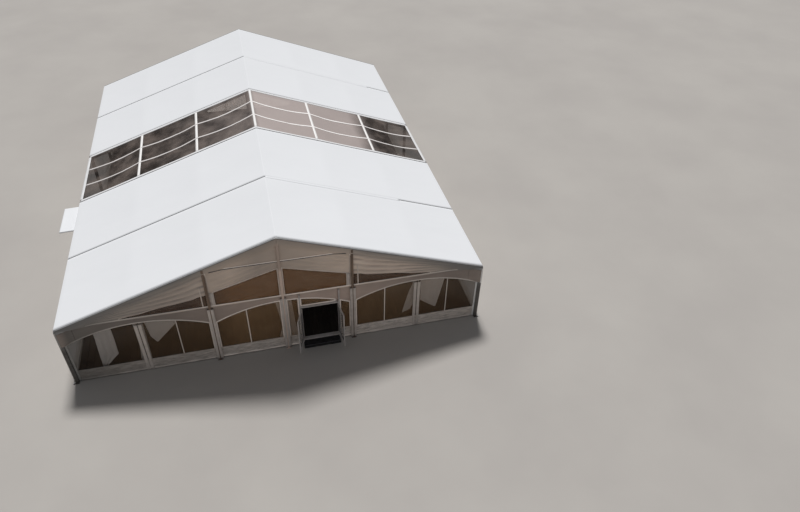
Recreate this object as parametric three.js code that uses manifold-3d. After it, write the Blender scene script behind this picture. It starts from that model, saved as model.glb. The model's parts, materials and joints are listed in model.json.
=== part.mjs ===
// A clear-span frame marquee: five bays of white membrane on six aluminium portal frames, one bay of
// the roof clear, arched clear windows in the gable walls, and a double door in the front gable.
// Millimetres, +Z up. The origin is on the ground under the front gable's centre upright; +X runs to
// the right along the front gable and +Y runs back along the ridge.
import * as THREE from 'three';
import { mergeVertices } from 'three/addons/utils/BufferGeometryUtils.js';
import Module from 'manifold-3d';

const wasm = await Module();
wasm.setup();

// Overall size
const HALF_SPAN = 9144;
const BAY_LENGTH = 4572;
const BAY_COUNT = 5;
const EAVE_HEIGHT = 3150;
const RIDGE_HEIGHT = 6360;
const PURLIN_LINES = [HALF_SPAN / 3, (2 * HALF_SPAN) / 3];
const CLEAR_BAY = 2;

// Sections
const GAP = 0.3;
const OVERLAP = 1;
const MEMBRANE = 12;
const FILM = 4;
const RAFTER_DEPTH = 200;
const LEG_DEPTH = 150;
const FRAME_WIDTH = 100;
const PURLIN_SIZE = 80;
const EAVE_PURLIN_WIDTH = 100;
const EAVE_PURLIN_FOOT = 3040;
const RIDGE_PURLIN_HALF = 50;
const RIDGE_PURLIN_DEPTH = 120;
const EAVE_LIP = 150;
const ROOF_REST = 10;
const PURLIN_COVER = 20;
const BASE_PLATE = 12;

// Gables and walls
const UPRIGHT_LINES = [-HALF_SPAN / 3, 0, HALF_SPAN / 3];
const MID_POST_LINES = [-6020, 6020];
const UPRIGHT_WIDTH = 100;
const UPRIGHT_DEPTH = 80;
const TRANSOM_FOOT = 3070;
const TRANSOM_TOP = 3150;
const TRANSOM_DEPTH = 60;
const WALL_FOOT = 15;
const WALL_TOP = 3100;
const SIDE_WALL_TOP = 3090;
const WINDOW_FOOT = 650;
const ARCH_FOOT = 2160;
const ARCH_TOP = 2860;
const ARCH_HALF = 2950;
const WINDOW_EDGE = 170;
const CORNER_WINDOW_END = 8880;
const DOOR_WINDOW_EDGE = 50;
const OVER_DOOR_WINDOW_END = 2180;
const GABLE_WINDOW_FOOT = 3235;
const GABLE_CENTRE_WINDOW = { inner: 120, innerTop: 4690, outer: 2780, outerTop: 3920 };
const GABLE_OUTER_WINDOW = { inner: 3115, innerTop: 3830, outer: 6600 };
const FILM_LAP = 40;
const FILM_TOP_LAP = 100;

// Floor, step and door
const FLOOR_TOP = 330;
const DECK = 40;
const BEARER_WIDTH = 60;
const BEARER_COUNT = 9;
const FLOOR_INSET = 120;
const FLOOR_SIDE_GAP = 10;
const WALL_LAP = 20;
const DOOR_LEFT = 710;
const DOOR_RIGHT = 2390;
const DOOR_POST = 60;
const DOOR_POST_TOP = 3095;
const DOOR_HEAD = 2320;
const DOOR_SILL = 350;
const LEAF_GAP = 6;
const MEETING_GAP = 10;
const LEAF_THICKNESS = 40;
const LEAF_STILE = 90;
const LEAF_TOP_RAIL = 100;
const LEAF_BOTTOM_RAIL = 260;
const PANE = 10;
const HINGE_SIDE = 3;
const HINGE_FORWARD = 14;
const KNUCKLE_RADIUS = 8;
const KNUCKLE_HEIGHT = 40;
const HINGE_HEIGHTS = [530, 1300, 2060];
const STRAP = 20;
const STRAP_HALF = 4;
const LEFT_LEAF_OPEN = 110;
const RIGHT_LEAF_OPEN = 98;
const STEP_RISE = 175;
const STEP_GOING = 250;

// Side canopy over the left wall, beside the third frame
const CANOPY_FRONT = 7050;
const CANOPY_BACK = 9050;
const CANOPY_OUTER = 9880;
const CANOPY_INNER = 9200;
const CANOPY_TOP = 2965;
const CANOPY_FALL = 30;
const CANOPY_BAR = 40;

// Worked out from the sizes above
const SLOPE = (RIDGE_HEIGHT - EAVE_HEIGHT) / HALF_SPAN;
const PITCH = Math.atan(SLOPE);
const MEMBRANE_UPRIGHT = MEMBRANE / Math.cos(PITCH);
const RAFTER_UPRIGHT = RAFTER_DEPTH / Math.cos(PITCH);
const WALL_OUTER = HALF_SPAN - MEMBRANE - GAP;
const WALL_INNER = WALL_OUTER - MEMBRANE;
const LEG_OUTER = WALL_INNER - GAP;
const LEG_INNER = LEG_OUTER - LEG_DEPTH;
const HALF_FRAME = FRAME_WIDTH / 2;
const LENGTH = BAY_LENGTH * BAY_COUNT;
const UPRIGHT_BACK = UPRIGHT_DEPTH - HALF_FRAME;
const PANEL_FRONT = UPRIGHT_BACK + GAP;
const PANEL_BACK = PANEL_FRONT + MEMBRANE;
const FILM_FRONT = PANEL_BACK + GAP;
const FILM_BACK = FILM_FRONT + FILM;
const TRANSOM_FRONT = HALF_FRAME + GAP;
const FLOOR_HALF = LEG_INNER - FLOOR_SIDE_GAP;

const roofTop = (x) => RIDGE_HEIGHT - SLOPE * Math.abs(x);
const rafterTop = (x) => roofTop(x) - MEMBRANE_UPRIGHT - GAP;
const rafterFoot = (x) => rafterTop(x) - RAFTER_UPRIGHT;
const underRafter = (x) => rafterFoot(x) - GAP;
const rafterLineAt = (z) => (underRafter(0) - z) / SLOPE;

// Materials
const COLOURS = {
  membrane: [0xe6e7ea, 0.55, 0],
  film: [0x5a4c40, 0.15, 0],
  metal: [0xc9cbcd, 0.4, 0.7],
  door: [0xd5d6d6, 0.45, 0.2],
  floor: [0x5b5148, 0.7, 0],
  mat: [0x17161a, 0.9, 0],
  cloth: [0xdedcd8, 0.8, 0],
};

const marquee = new THREE.Group();

function addMesh(name, geometry, finish) {
  const [color, roughness, metalness] = COLOURS[finish];
  const mesh = new THREE.Mesh(geometry, new THREE.MeshStandardMaterial({ color, roughness, metalness }));
  mesh.name = name;
  marquee.add(mesh);
  return mesh;
}

// Prisms. Each takes an outline in one plane and its two ends along the third axis.
const AXES = {
  x: [new THREE.Vector3(0, 1, 0), new THREE.Vector3(0, 0, 1), new THREE.Vector3(1, 0, 0)],
  y: [new THREE.Vector3(1, 0, 0), new THREE.Vector3(0, 0, 1), new THREE.Vector3(0, -1, 0)],
};

function prism(axis, outline, low, high) {
  const shape = outline instanceof THREE.Shape ? outline : polygon(outline);
  const geometry = new THREE.ExtrudeGeometry(shape, {
    depth: high - low,
    bevelEnabled: false,
    curveSegments: 12,
  });
  geometry.applyMatrix4(new THREE.Matrix4().makeBasis(...AXES[axis]));
  const start = axis === 'y' ? high : low;
  geometry.translate(axis === 'x' ? start : 0, axis === 'y' ? start : 0, 0);
  return geometry;
}

function polygon(points) {
  return new THREE.Shape(points.map(([a, b]) => new THREE.Vector2(a, b)));
}

function rectangle(a0, a1, b0, b1) {
  return polygon([[a0, b0], [a1, b0], [a1, b1], [a0, b1]]);
}

function box(x0, x1, y0, y1, z0, z1) {
  return prism('y', rectangle(x0, x1, z0, z1), y0, y1);
}

// Joining and cutting
function toSolid(geometry) {
  const bare = geometry.clone();
  bare.deleteAttribute('normal');
  bare.deleteAttribute('uv');
  const merged = mergeVertices(bare, 1e-3);
  return new wasm.Manifold(new wasm.Mesh({
    numProp: 3,
    vertProperties: new Float32Array(merged.attributes.position.array),
    triVerts: new Uint32Array(merged.index.array),
  }));
}

function toGeometry(solid) {
  const mesh = solid.getMesh();
  const geometry = new THREE.BufferGeometry();
  geometry.setAttribute('position', new THREE.BufferAttribute(mesh.vertProperties, 3));
  geometry.setIndex(new THREE.BufferAttribute(mesh.triVerts, 1));
  geometry.computeVertexNormals();
  return geometry;
}

function join(...geometries) {
  return toGeometry(geometries.map(toSolid).reduce((sum, next) => sum.add(next)));
}

function cut(geometry, ...tools) {
  return toGeometry(tools.map(toSolid).reduce((rest, tool) => rest.subtract(tool), toSolid(geometry)));
}

// A flat panel across the marquee with its windows cut through.
function panel(outline, front, back, windows) {
  const holes = windows.map((hole) => prism('y', hole, front - OVERLAP, back + OVERLAP));
  return cut(prism('y', outline, front, back), ...holes);
}

// Purlins. side is -1 on the left slope and 1 on the right.
function slopeBar(x, side, grow, topGrow) {
  const along = new THREE.Vector2(Math.cos(PITCH) * side, -Math.sin(PITCH));
  const out = new THREE.Vector2(Math.sin(PITCH) * side, Math.cos(PITCH));
  const top = new THREE.Vector2(x * side, roofTop(x)).addScaledVector(out, -MEMBRANE - GAP);
  const half = PURLIN_SIZE / 2 + grow;
  const corner = (a, b) => top.clone().addScaledVector(along, a).addScaledVector(out, b).toArray();
  const foot = -PURLIN_SIZE - grow;
  return [corner(-half, foot), corner(half, foot), corner(half, topGrow), corner(-half, topGrow)];
}

function eaveBar(side, grow, topGrow) {
  const outer = LEG_OUTER + (topGrow > 0 ? topGrow : 0);
  const inner = LEG_OUTER - EAVE_PURLIN_WIDTH - grow;
  const foot = EAVE_PURLIN_FOOT - grow;
  return [
    [side * inner, foot],
    [side * outer, foot],
    [side * outer, rafterTop(LEG_OUTER) + topGrow],
    [side * inner, rafterTop(inner) + topGrow],
  ];
}

function ridgeBar(grow, topGrow) {
  const half = RIDGE_PURLIN_HALF + grow;
  const foot = rafterTop(0) - RIDGE_PURLIN_DEPTH - grow;
  return [
    [-half, foot],
    [half, foot],
    [half, rafterTop(half) + topGrow],
    [0, rafterTop(0) + topGrow],
    [-half, rafterTop(half) + topGrow],
  ];
}

const NOTCH_RISE = 30;
const purlins = [['ridge_purlin', ridgeBar(0, 0), ridgeBar(GAP, NOTCH_RISE)]];
for (const [side, sideName] of [[-1, 'left'], [1, 'right']]) {
  purlins.push([`eave_purlin_${sideName}`, eaveBar(side, 0, 0), eaveBar(side, GAP, NOTCH_RISE)]);
  purlins.push([
    `high_purlin_${sideName}`,
    slopeBar(PURLIN_LINES[0], side, 0, 0),
    slopeBar(PURLIN_LINES[0], side, GAP, NOTCH_RISE),
  ]);
  purlins.push([
    `low_purlin_${sideName}`,
    slopeBar(PURLIN_LINES[1], side, 0, 0),
    slopeBar(PURLIN_LINES[1], side, GAP, NOTCH_RISE),
  ]);
}
const purlinFront = -HALF_FRAME + PURLIN_COVER;
const purlinBack = LENGTH + HALF_FRAME - PURLIN_COVER;
for (const [name, bar] of purlins) {
  addMesh(name, prism('y', bar, purlinFront, purlinBack), 'metal');
}

// Portal frames: two legs, two rafters and two base plates, notched for the purlins that cross them.
const PORTAL = [
  [-LEG_OUTER, 0],
  [-LEG_OUTER, rafterTop(LEG_OUTER)],
  [0, rafterTop(0)],
  [LEG_OUTER, rafterTop(LEG_OUTER)],
  [LEG_OUTER, 0],
  [LEG_INNER, 0],
  [LEG_INNER, rafterFoot(LEG_INNER)],
  [0, rafterFoot(0)],
  [-LEG_INNER, rafterFoot(LEG_INNER)],
  [-LEG_INNER, 0],
];
const PLATE_OUTWARD = 90;
const PLATE_SIDE = 80;

for (let line = 0; line <= BAY_COUNT; line += 1) {
  const y = line * BAY_LENGTH;
  const plates = [-1, 1].map((side) => {
    const ends = [side * LEG_INNER, side * (LEG_OUTER + PLATE_OUTWARD)].sort((a, b) => a - b);
    return box(...ends, y - HALF_FRAME - PLATE_SIDE, y + HALF_FRAME + PLATE_SIDE, 0, BASE_PLATE);
  });
  const bare = join(prism('y', PORTAL, y - HALF_FRAME, y + HALF_FRAME), ...plates);
  const notchFront = Math.max(y - FRAME_WIDTH, purlinFront - GAP);
  const notchBack = Math.min(y + FRAME_WIDTH, purlinBack + GAP);
  const notches = purlins.map(([, , notch]) => prism('y', notch, notchFront, notchBack));
  addMesh(`portal_frame_${line + 1}`, cut(bare, ...notches), 'metal');
}

// Roof membranes: one slab a slope over the two front bays, the clear bay and the two back bays.
// The outer ones end on the end frames' inner edges, so those frames' tops show.
function roofSection(side) {
  const ridgeEnd = GAP / 2;
  const lipInner = HALF_SPAN - MEMBRANE;
  const outline = [
    [ridgeEnd, roofTop(ridgeEnd)],
    [HALF_SPAN, EAVE_HEIGHT],
    [HALF_SPAN, EAVE_HEIGHT - EAVE_LIP],
    [lipInner, EAVE_HEIGHT - EAVE_LIP],
    [lipInner, roofTop(lipInner) - MEMBRANE_UPRIGHT],
    [ridgeEnd, roofTop(ridgeEnd) - MEMBRANE_UPRIGHT],
  ];
  return outline.map(([x, z]) => [side * x, z]);
}

const clearStart = CLEAR_BAY * BAY_LENGTH;
const clearEnd = clearStart + BAY_LENGTH;
const ROOF_STRETCHES = [
  ['roof_front', HALF_FRAME - ROOF_REST, clearStart - GAP / 2, 'membrane'],
  ['roof_clear', clearStart + GAP / 2, clearEnd - GAP / 2, 'film'],
  ['roof_back', clearEnd + GAP / 2, LENGTH - HALF_FRAME + ROOF_REST, 'membrane'],
];
for (const [name, front, back, finish] of ROOF_STRETCHES) {
  addMesh(`${name}_left`, prism('y', roofSection(-1), front, back), finish);
  addMesh(`${name}_right`, prism('y', roofSection(1), front, back), finish);
}

// Window outlines. A wall's arch springs at ARCH_FOOT, ARCH_HALF either side of its middle line.
function gableArch(low, high, middle, foot = WINDOW_FOOT) {
  const rise = ARCH_TOP - ARCH_FOOT;
  const radius = (ARCH_HALF * ARCH_HALF + rise * rise) / (2 * rise);
  const centre = ARCH_TOP - radius;
  const heightAt = (a) => centre + Math.sqrt(radius * radius - (a - middle) ** 2);
  const angleAt = (a) => Math.atan2(heightAt(a) - centre, a - middle);
  const path = new THREE.Shape();
  path.moveTo(low, foot);
  path.lineTo(high, foot);
  path.absarc(middle, centre, radius, angleAt(high), angleAt(low), false);
  path.closePath();
  return path;
}

function gableWindows() {
  const foot = GABLE_WINDOW_FOOT;
  const centre = GABLE_CENTRE_WINDOW;
  const corner = GABLE_OUTER_WINDOW;
  const outlines = [
    [[centre.inner, foot], [centre.outer, foot], [centre.outer, centre.outerTop], [centre.inner, centre.innerTop]],
    [[corner.inner, foot], [corner.outer, foot], [corner.inner, corner.innerTop]],
  ];
  return [1, -1].flatMap((side) => outlines.map((points) => polygon(points.map(([x, z]) => [side * x, z]))));
}

const cornerInner = UPRIGHT_LINES[2] + WINDOW_EDGE;
const leftCornerWindow = () => gableArch(-CORNER_WINDOW_END, -cornerInner, MID_POST_LINES[0]);
const rightCornerWindow = () => gableArch(cornerInner, CORNER_WINDOW_END, MID_POST_LINES[1]);

// Front gable: walls beside and over the door, the gable panel above the transom, and clear films.
const panelEnd = LEG_INNER - GAP;
const wallShoulder = rafterLineAt(WALL_TOP);
const doorWallLeft = DOOR_LEFT - WALL_LAP;
const doorWallRight = DOOR_RIGHT + WALL_LAP;
const overDoorFoot = DOOR_HEAD + WALL_LAP;
const besideDoor = DOOR_LEFT - DOOR_POST - DOOR_WINDOW_EDGE;
const pastDoor = DOOR_RIGHT + DOOR_POST + DOOR_WINDOW_EDGE;
const overDoorWindowFoot = DOOR_HEAD + DOOR_POST + DOOR_WINDOW_EDGE;

const frontLeft = [
  [-panelEnd, WALL_FOOT],
  [doorWallLeft, WALL_FOOT],
  [doorWallLeft, WALL_TOP],
  [-wallShoulder, WALL_TOP],
  [-panelEnd, underRafter(panelEnd)],
];
addMesh('front_wall_left', panel(frontLeft, PANEL_FRONT, PANEL_BACK, [
  leftCornerWindow(),
  gableArch(UPRIGHT_LINES[0] + WINDOW_EDGE, -WINDOW_EDGE, 0),
  gableArch(WINDOW_EDGE, besideDoor, 0),
]), 'membrane');

const frontRight = [
  [doorWallRight, WALL_FOOT],
  [panelEnd, WALL_FOOT],
  [panelEnd, underRafter(panelEnd)],
  [wallShoulder, WALL_TOP],
  [doorWallRight, WALL_TOP],
];
addMesh('front_wall_right', panel(frontRight, PANEL_FRONT, PANEL_BACK, [
  gableArch(pastDoor, UPRIGHT_LINES[2] - WINDOW_EDGE, 0),
  rightCornerWindow(),
]), 'membrane');

const overDoor = rectangle(doorWallLeft + GAP, doorWallRight - GAP, overDoorFoot, WALL_TOP);
addMesh('front_wall_over_door', panel(overDoor, PANEL_FRONT, PANEL_BACK, [
  gableArch(DOOR_LEFT + DOOR_WINDOW_EDGE, OVER_DOOR_WINDOW_END, 0, overDoorWindowFoot),
]), 'membrane');

const gableFoot = WALL_TOP + GAP;
const gableEnd = rafterLineAt(gableFoot);
const gablePanel = [[-gableEnd, gableFoot], [gableEnd, gableFoot], [0, underRafter(0)]];
addMesh('front_gable_panel', panel(gablePanel, PANEL_FRONT, PANEL_BACK, gableWindows()), 'membrane');

const FILM_END = 8940;
const FILM_FOOT = WINDOW_FOOT - FILM_LAP;
const FILM_TOP = ARCH_TOP + FILM_TOP_LAP;
const frontFilm = [
  [-FILM_END, FILM_FOOT],
  [doorWallLeft, FILM_FOOT],
  [doorWallLeft, overDoorFoot],
  [doorWallRight, overDoorFoot],
  [doorWallRight, FILM_FOOT],
  [FILM_END, FILM_FOOT],
  [FILM_END, FILM_TOP],
  [-FILM_END, FILM_TOP],
];
addMesh('front_film', prism('y', frontFilm, FILM_FRONT, FILM_BACK), 'film');

const GABLE_FILM_FOOT = 3160;
const GABLE_FILM_END = 6800;
const GABLE_FILM_TIP = 3320;
const gableFilmStep = GABLE_CENTRE_WINDOW.outerTop + FILM_TOP_LAP;
const gableFilmTop = [
  [GABLE_FILM_END, GABLE_FILM_TIP],
  [UPRIGHT_LINES[2], gableFilmStep],
  [0, GABLE_CENTRE_WINDOW.innerTop + FILM_TOP_LAP],
  [UPRIGHT_LINES[0], gableFilmStep],
  [-GABLE_FILM_END, GABLE_FILM_TIP],
];
const gableFilm = [[-GABLE_FILM_END, GABLE_FILM_FOOT], [GABLE_FILM_END, GABLE_FILM_FOOT], ...gableFilmTop];
addMesh('front_gable_film', prism('y', gableFilm, FILM_FRONT, FILM_BACK), 'film');

// Back gable: the same panels as one wall, without a door.
const backOuter = LENGTH - PANEL_FRONT;
const backInner = LENGTH - PANEL_BACK;
const backOutline = [
  [-panelEnd, WALL_FOOT],
  [panelEnd, WALL_FOOT],
  [panelEnd, underRafter(panelEnd)],
  [0, underRafter(0)],
  [-panelEnd, underRafter(panelEnd)],
];
addMesh('back_wall', panel(backOutline, backInner, backOuter, [
  leftCornerWindow(),
  gableArch(UPRIGHT_LINES[0] + WINDOW_EDGE, -WINDOW_EDGE, 0),
  gableArch(WINDOW_EDGE, UPRIGHT_LINES[2] - WINDOW_EDGE, 0),
  rightCornerWindow(),
  ...gableWindows(),
]), 'membrane');
const backFilm = [[-FILM_END, FILM_FOOT], [FILM_END, FILM_FOOT], [FILM_END, FILM_TOP], ...gableFilmTop,
  [-FILM_END, FILM_TOP]];
addMesh('back_film', prism('y', backFilm, LENGTH - FILM_BACK, LENGTH - FILM_FRONT), 'film');

// Gable uprights with base plates, transoms, and the posts half-way along the front corner panels.
const UPRIGHT_NAMES = ['left', 'centre', 'right'];
const PLATE_HALF = 110;
const PLATE_INWARD = 60;

function upright(x, outward) {
  const half = UPRIGHT_WIDTH / 2;
  const outline = [
    [x - half, 0],
    [x + half, 0],
    [x + half, underRafter(x + half)],
    [x, underRafter(x)],
    [x - half, underRafter(x - half)],
  ];
  const centre = outward < 0 ? 0 : LENGTH;
  const outer = centre + outward * HALF_FRAME;
  const inner = centre - outward * UPRIGHT_BACK;
  const plateEnds = [centre + outward * (HALF_FRAME + PLATE_SIDE), centre - outward * PLATE_INWARD];
  return join(
    prism('y', outline, Math.min(outer, inner), Math.max(outer, inner)),
    box(x - PLATE_HALF, x + PLATE_HALF, Math.min(...plateEnds), Math.max(...plateEnds), 0, BASE_PLATE),
  );
}

UPRIGHT_LINES.forEach((x, index) => {
  addMesh(`front_upright_${UPRIGHT_NAMES[index]}`, upright(x, -1), 'metal');
  addMesh(`back_upright_${UPRIGHT_NAMES[index]}`, upright(x, 1), 'metal');
});

const TRANSOM_END_GAP = 20;
const transomEnd = LEG_OUTER - EAVE_PURLIN_WIDTH - TRANSOM_END_GAP;
const transomBack = TRANSOM_FRONT + TRANSOM_DEPTH;
addMesh('front_transom',
  box(-transomEnd, transomEnd, TRANSOM_FRONT, transomBack, TRANSOM_FOOT, TRANSOM_TOP), 'metal');
addMesh('back_transom',
  box(-transomEnd, transomEnd, LENGTH - transomBack, LENGTH - TRANSOM_FRONT, TRANSOM_FOOT, TRANSOM_TOP),
  'metal');

const MID_POST_HALF = 40;
MID_POST_LINES.forEach((x, index) => {
  const post = box(x - MID_POST_HALF, x + MID_POST_HALF,
    FILM_BACK + GAP, transomBack, 0, TRANSOM_FOOT - GAP);
  addMesh(`front_mid_post_${index === 0 ? 'left' : 'right'}`, post, 'metal');
});

// Side walls: one plain membrane a side, against the legs.
const sideEnds = [-HALF_FRAME, LENGTH + HALF_FRAME];
for (const [side, sideName] of [[-1, 'left'], [1, 'right']]) {
  const wallX = [side * WALL_INNER, side * WALL_OUTER].sort((a, b) => a - b);
  const wall = prism('x', rectangle(...sideEnds, WALL_FOOT, SIDE_WALL_TOP), ...wallX);
  addMesh(`side_wall_${sideName}`, wall, 'membrane');
}

// Floor: boards on long bearers, as one comb-shaped section run from gable to gable.
function floorSection() {
  const points = [[-FLOOR_HALF, FLOOR_TOP]];
  const pitch = (2 * FLOOR_HALF - BEARER_WIDTH) / (BEARER_COUNT - 1);
  for (let bearer = 0; bearer < BEARER_COUNT; bearer += 1) {
    const left = -FLOOR_HALF + bearer * pitch;
    if (bearer > 0) {
      points.push([left, FLOOR_TOP - DECK]);
    }
    points.push([left, 0], [left + BEARER_WIDTH, 0]);
    if (bearer < BEARER_COUNT - 1) {
      points.push([left + BEARER_WIDTH, FLOOR_TOP - DECK]);
    }
  }
  points.push([FLOOR_HALF, FLOOR_TOP]);
  return points;
}
addMesh('floor', prism('y', floorSection(), FLOOR_INSET, LENGTH - FLOOR_INSET), 'floor');

// Door: frame with sill and header, and two leaves that open outwards.
const hingeY = -HALF_FRAME - HINGE_FORWARD;
const leftHingeX = DOOR_LEFT + LEAF_GAP - HINGE_SIDE;
const rightHingeX = DOOR_RIGHT - LEAF_GAP + HINGE_SIDE;
const sillBack = FLOOR_INSET - GAP;
const sillFoot = DOOR_SILL - DOOR_POST;

function knuckle(x, y, z) {
  const geometry = new THREE.CylinderGeometry(KNUCKLE_RADIUS, KNUCKLE_RADIUS, KNUCKLE_HEIGHT, 16);
  geometry.rotateX(Math.PI / 2);
  geometry.translate(x, y, z + KNUCKLE_HEIGHT / 2);
  return geometry;
}

function strap(x0, x1, y0, y1, z) {
  return box(Math.min(x0, x1), Math.max(x0, x1), y0, y1, z, z + KNUCKLE_HEIGHT);
}

function doorFrame() {
  const outer = rectangle(DOOR_LEFT - DOOR_POST, DOOR_RIGHT + DOOR_POST, 0, DOOR_POST_TOP);
  const pieces = [
    panel(outer, -HALF_FRAME, UPRIGHT_BACK, [
      rectangle(DOOR_LEFT, DOOR_RIGHT, -OVERLAP, sillFoot),
      rectangle(DOOR_LEFT, DOOR_RIGHT, DOOR_SILL, DOOR_HEAD),
      rectangle(DOOR_LEFT, DOOR_RIGHT, DOOR_HEAD + DOOR_POST, DOOR_POST_TOP + OVERLAP),
    ]),
    box(DOOR_LEFT, DOOR_RIGHT, UPRIGHT_BACK - OVERLAP, sillBack, sillFoot, DOOR_SILL),
  ];
  for (const z of HINGE_HEIGHTS) {
    for (const [hingeX, postEdge] of [[leftHingeX, DOOR_LEFT], [rightHingeX, DOOR_RIGHT]]) {
      const outward = Math.sign(postEdge - hingeX);
      pieces.push(knuckle(hingeX, hingeY, z));
      const strapBack = hingeY + STRAP_HALF;
      const strapFront = hingeY - STRAP_HALF;
      pieces.push(strap(postEdge, postEdge + outward * STRAP, strapFront, -HALF_FRAME + OVERLAP, z));
      pieces.push(strap(hingeX, postEdge + outward * OVERLAP, strapFront, strapBack, z));
    }
  }
  return join(...pieces);
}
addMesh('door_frame', doorFrame(), 'door');

// A leaf is made shut, with its hinge axis at x = 0, y = 0 and its width towards +X.
function leafShut() {
  const width = (DOOR_RIGHT - DOOR_LEFT - MEETING_GAP) / 2 - LEAF_GAP;
  const x0 = HINGE_SIDE;
  const x1 = HINGE_SIDE + width;
  const y0 = HINGE_FORWARD;
  const y1 = HINGE_FORWARD + LEAF_THICKNESS;
  const z0 = DOOR_SILL + LEAF_GAP;
  const z1 = DOOR_HEAD - LEAF_GAP;
  const recess = (LEAF_THICKNESS - PANE) / 2;
  const paneSpan = [x0 + LEAF_STILE, x1 - LEAF_STILE];
  const paneRise = [z0 + LEAF_BOTTOM_RAIL, z1 - LEAF_TOP_RAIL];
  const slab = cut(
    box(x0, x1, y0, y1, z0, z1),
    box(...paneSpan, y0 - OVERLAP, y0 + recess, ...paneRise),
    box(...paneSpan, y1 - recess, y1 + OVERLAP, ...paneRise),
  );
  const knuckles = HINGE_HEIGHTS.flatMap((z) => {
    const foot = z + KNUCKLE_HEIGHT + GAP;
    return [
      knuckle(0, 0, foot),
      strap(0, x0 + STRAP, -STRAP_HALF, STRAP_HALF, foot),
      strap(x0 + STRAP_HALF, x0 + STRAP, -STRAP_HALF, y0 + OVERLAP, foot),
    ];
  });
  return join(slab, ...knuckles);
}

function placeLeaf(name, hingeX, openDegrees, mirrored) {
  const geometry = leafShut();
  if (mirrored) {
    geometry.scale(-1, 1, 1);
    const index = geometry.index.array;
    for (let i = 0; i < index.length; i += 3) {
      [index[i + 1], index[i + 2]] = [index[i + 2], index[i + 1]];
    }
    geometry.computeVertexNormals();
  }
  const mesh = addMesh(name, geometry, 'door');
  mesh.position.set(hingeX, hingeY, 0);
  mesh.rotation.z = THREE.MathUtils.degToRad(mirrored ? openDegrees : -openDegrees);
}
placeLeaf('door_leaf_left', leftHingeX, LEFT_LEAF_OPEN, false);
placeLeaf('door_leaf_right', rightHingeX, RIGHT_LEAF_OPEN, true);

// Entrance step: one tread in front of the sill and the riser under it.
const stepFront = -HALF_FRAME - STEP_GOING;
const stepSection = [
  [stepFront, 0],
  [sillBack, 0],
  [sillBack, sillFoot - GAP],
  [-HALF_FRAME, sillFoot - GAP],
  [-HALF_FRAME, STEP_RISE],
  [stepFront, STEP_RISE],
];
addMesh('entrance_step', prism('x', stepSection, DOOR_LEFT + GAP, DOOR_RIGHT - GAP), 'mat');

// Side canopy: a taut panel on a light frame, with two arms to the left wall.
const canopySection = [
  [-CANOPY_INNER, CANOPY_TOP],
  [-CANOPY_INNER, CANOPY_TOP - CANOPY_BAR],
  [-CANOPY_OUTER, CANOPY_TOP - CANOPY_BAR - CANOPY_FALL],
  [-CANOPY_OUTER, CANOPY_TOP - CANOPY_FALL],
];
const armEnds = [-CANOPY_INNER - CANOPY_BAR, -WALL_OUTER - GAP];
const ARM_DROP = 2;
const armHeight = [CANOPY_TOP - CANOPY_BAR, CANOPY_TOP - ARM_DROP];
addMesh('side_canopy', join(
  prism('y', canopySection, CANOPY_FRONT, CANOPY_BACK),
  box(...armEnds, CANOPY_FRONT, CANOPY_FRONT + CANOPY_BAR, ...armHeight),
  box(...armEnds, CANOPY_BACK - CANOPY_BAR, CANOPY_BACK, ...armHeight),
), 'membrane');

// Curtains: white cloth gathered behind the posts and caught up beside them, hung behind the transom.
const curtainFront = transomBack + GAP;
const CURTAIN_THICKNESS = 60;
const CURTAIN_TOP = 3130;
const CURTAIN_FOOT = FLOOR_TOP + 15;
const CURTAINS = {
  curtain_mid_left: [
    [-6330, CURTAIN_FOOT],
    [-5880, CURTAIN_FOOT],
    [-5800, 1750],
    [-5440, 1480],
    [-4480, 2440],
    [-4420, CURTAIN_TOP],
    [-7820, CURTAIN_TOP],
    [-7790, 2200],
    [-7900, 690],
    [-7800, 480],
    [-7540, 720],
    [-7090, 1200],
    [-7060, 2900],
    [-6230, 2900],
  ],
  curtain_centre: [
    [-390, CURTAIN_FOOT],
    [600, CURTAIN_FOOT],
    [460, 1200],
    [330, 2700],
    [330, CURTAIN_TOP],
    [-380, CURTAIN_TOP],
  ],
  curtain_mid_right: [
    [5380, 840],
    [5780, 960],
    [5900, CURTAIN_FOOT],
    [6150, CURTAIN_FOOT],
    [6230, 1480],
    [7040, 900],
    [7370, 2600],
    [7400, CURTAIN_TOP],
    [5830, CURTAIN_TOP],
    [5830, 2620],
    [5590, 1840],
  ],
};
for (const [name, outline] of Object.entries(CURTAINS)) {
  addMesh(name, prism('y', outline, curtainFront, curtainFront + CURTAIN_THICKNESS), 'cloth');
}

export default marquee;
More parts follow.
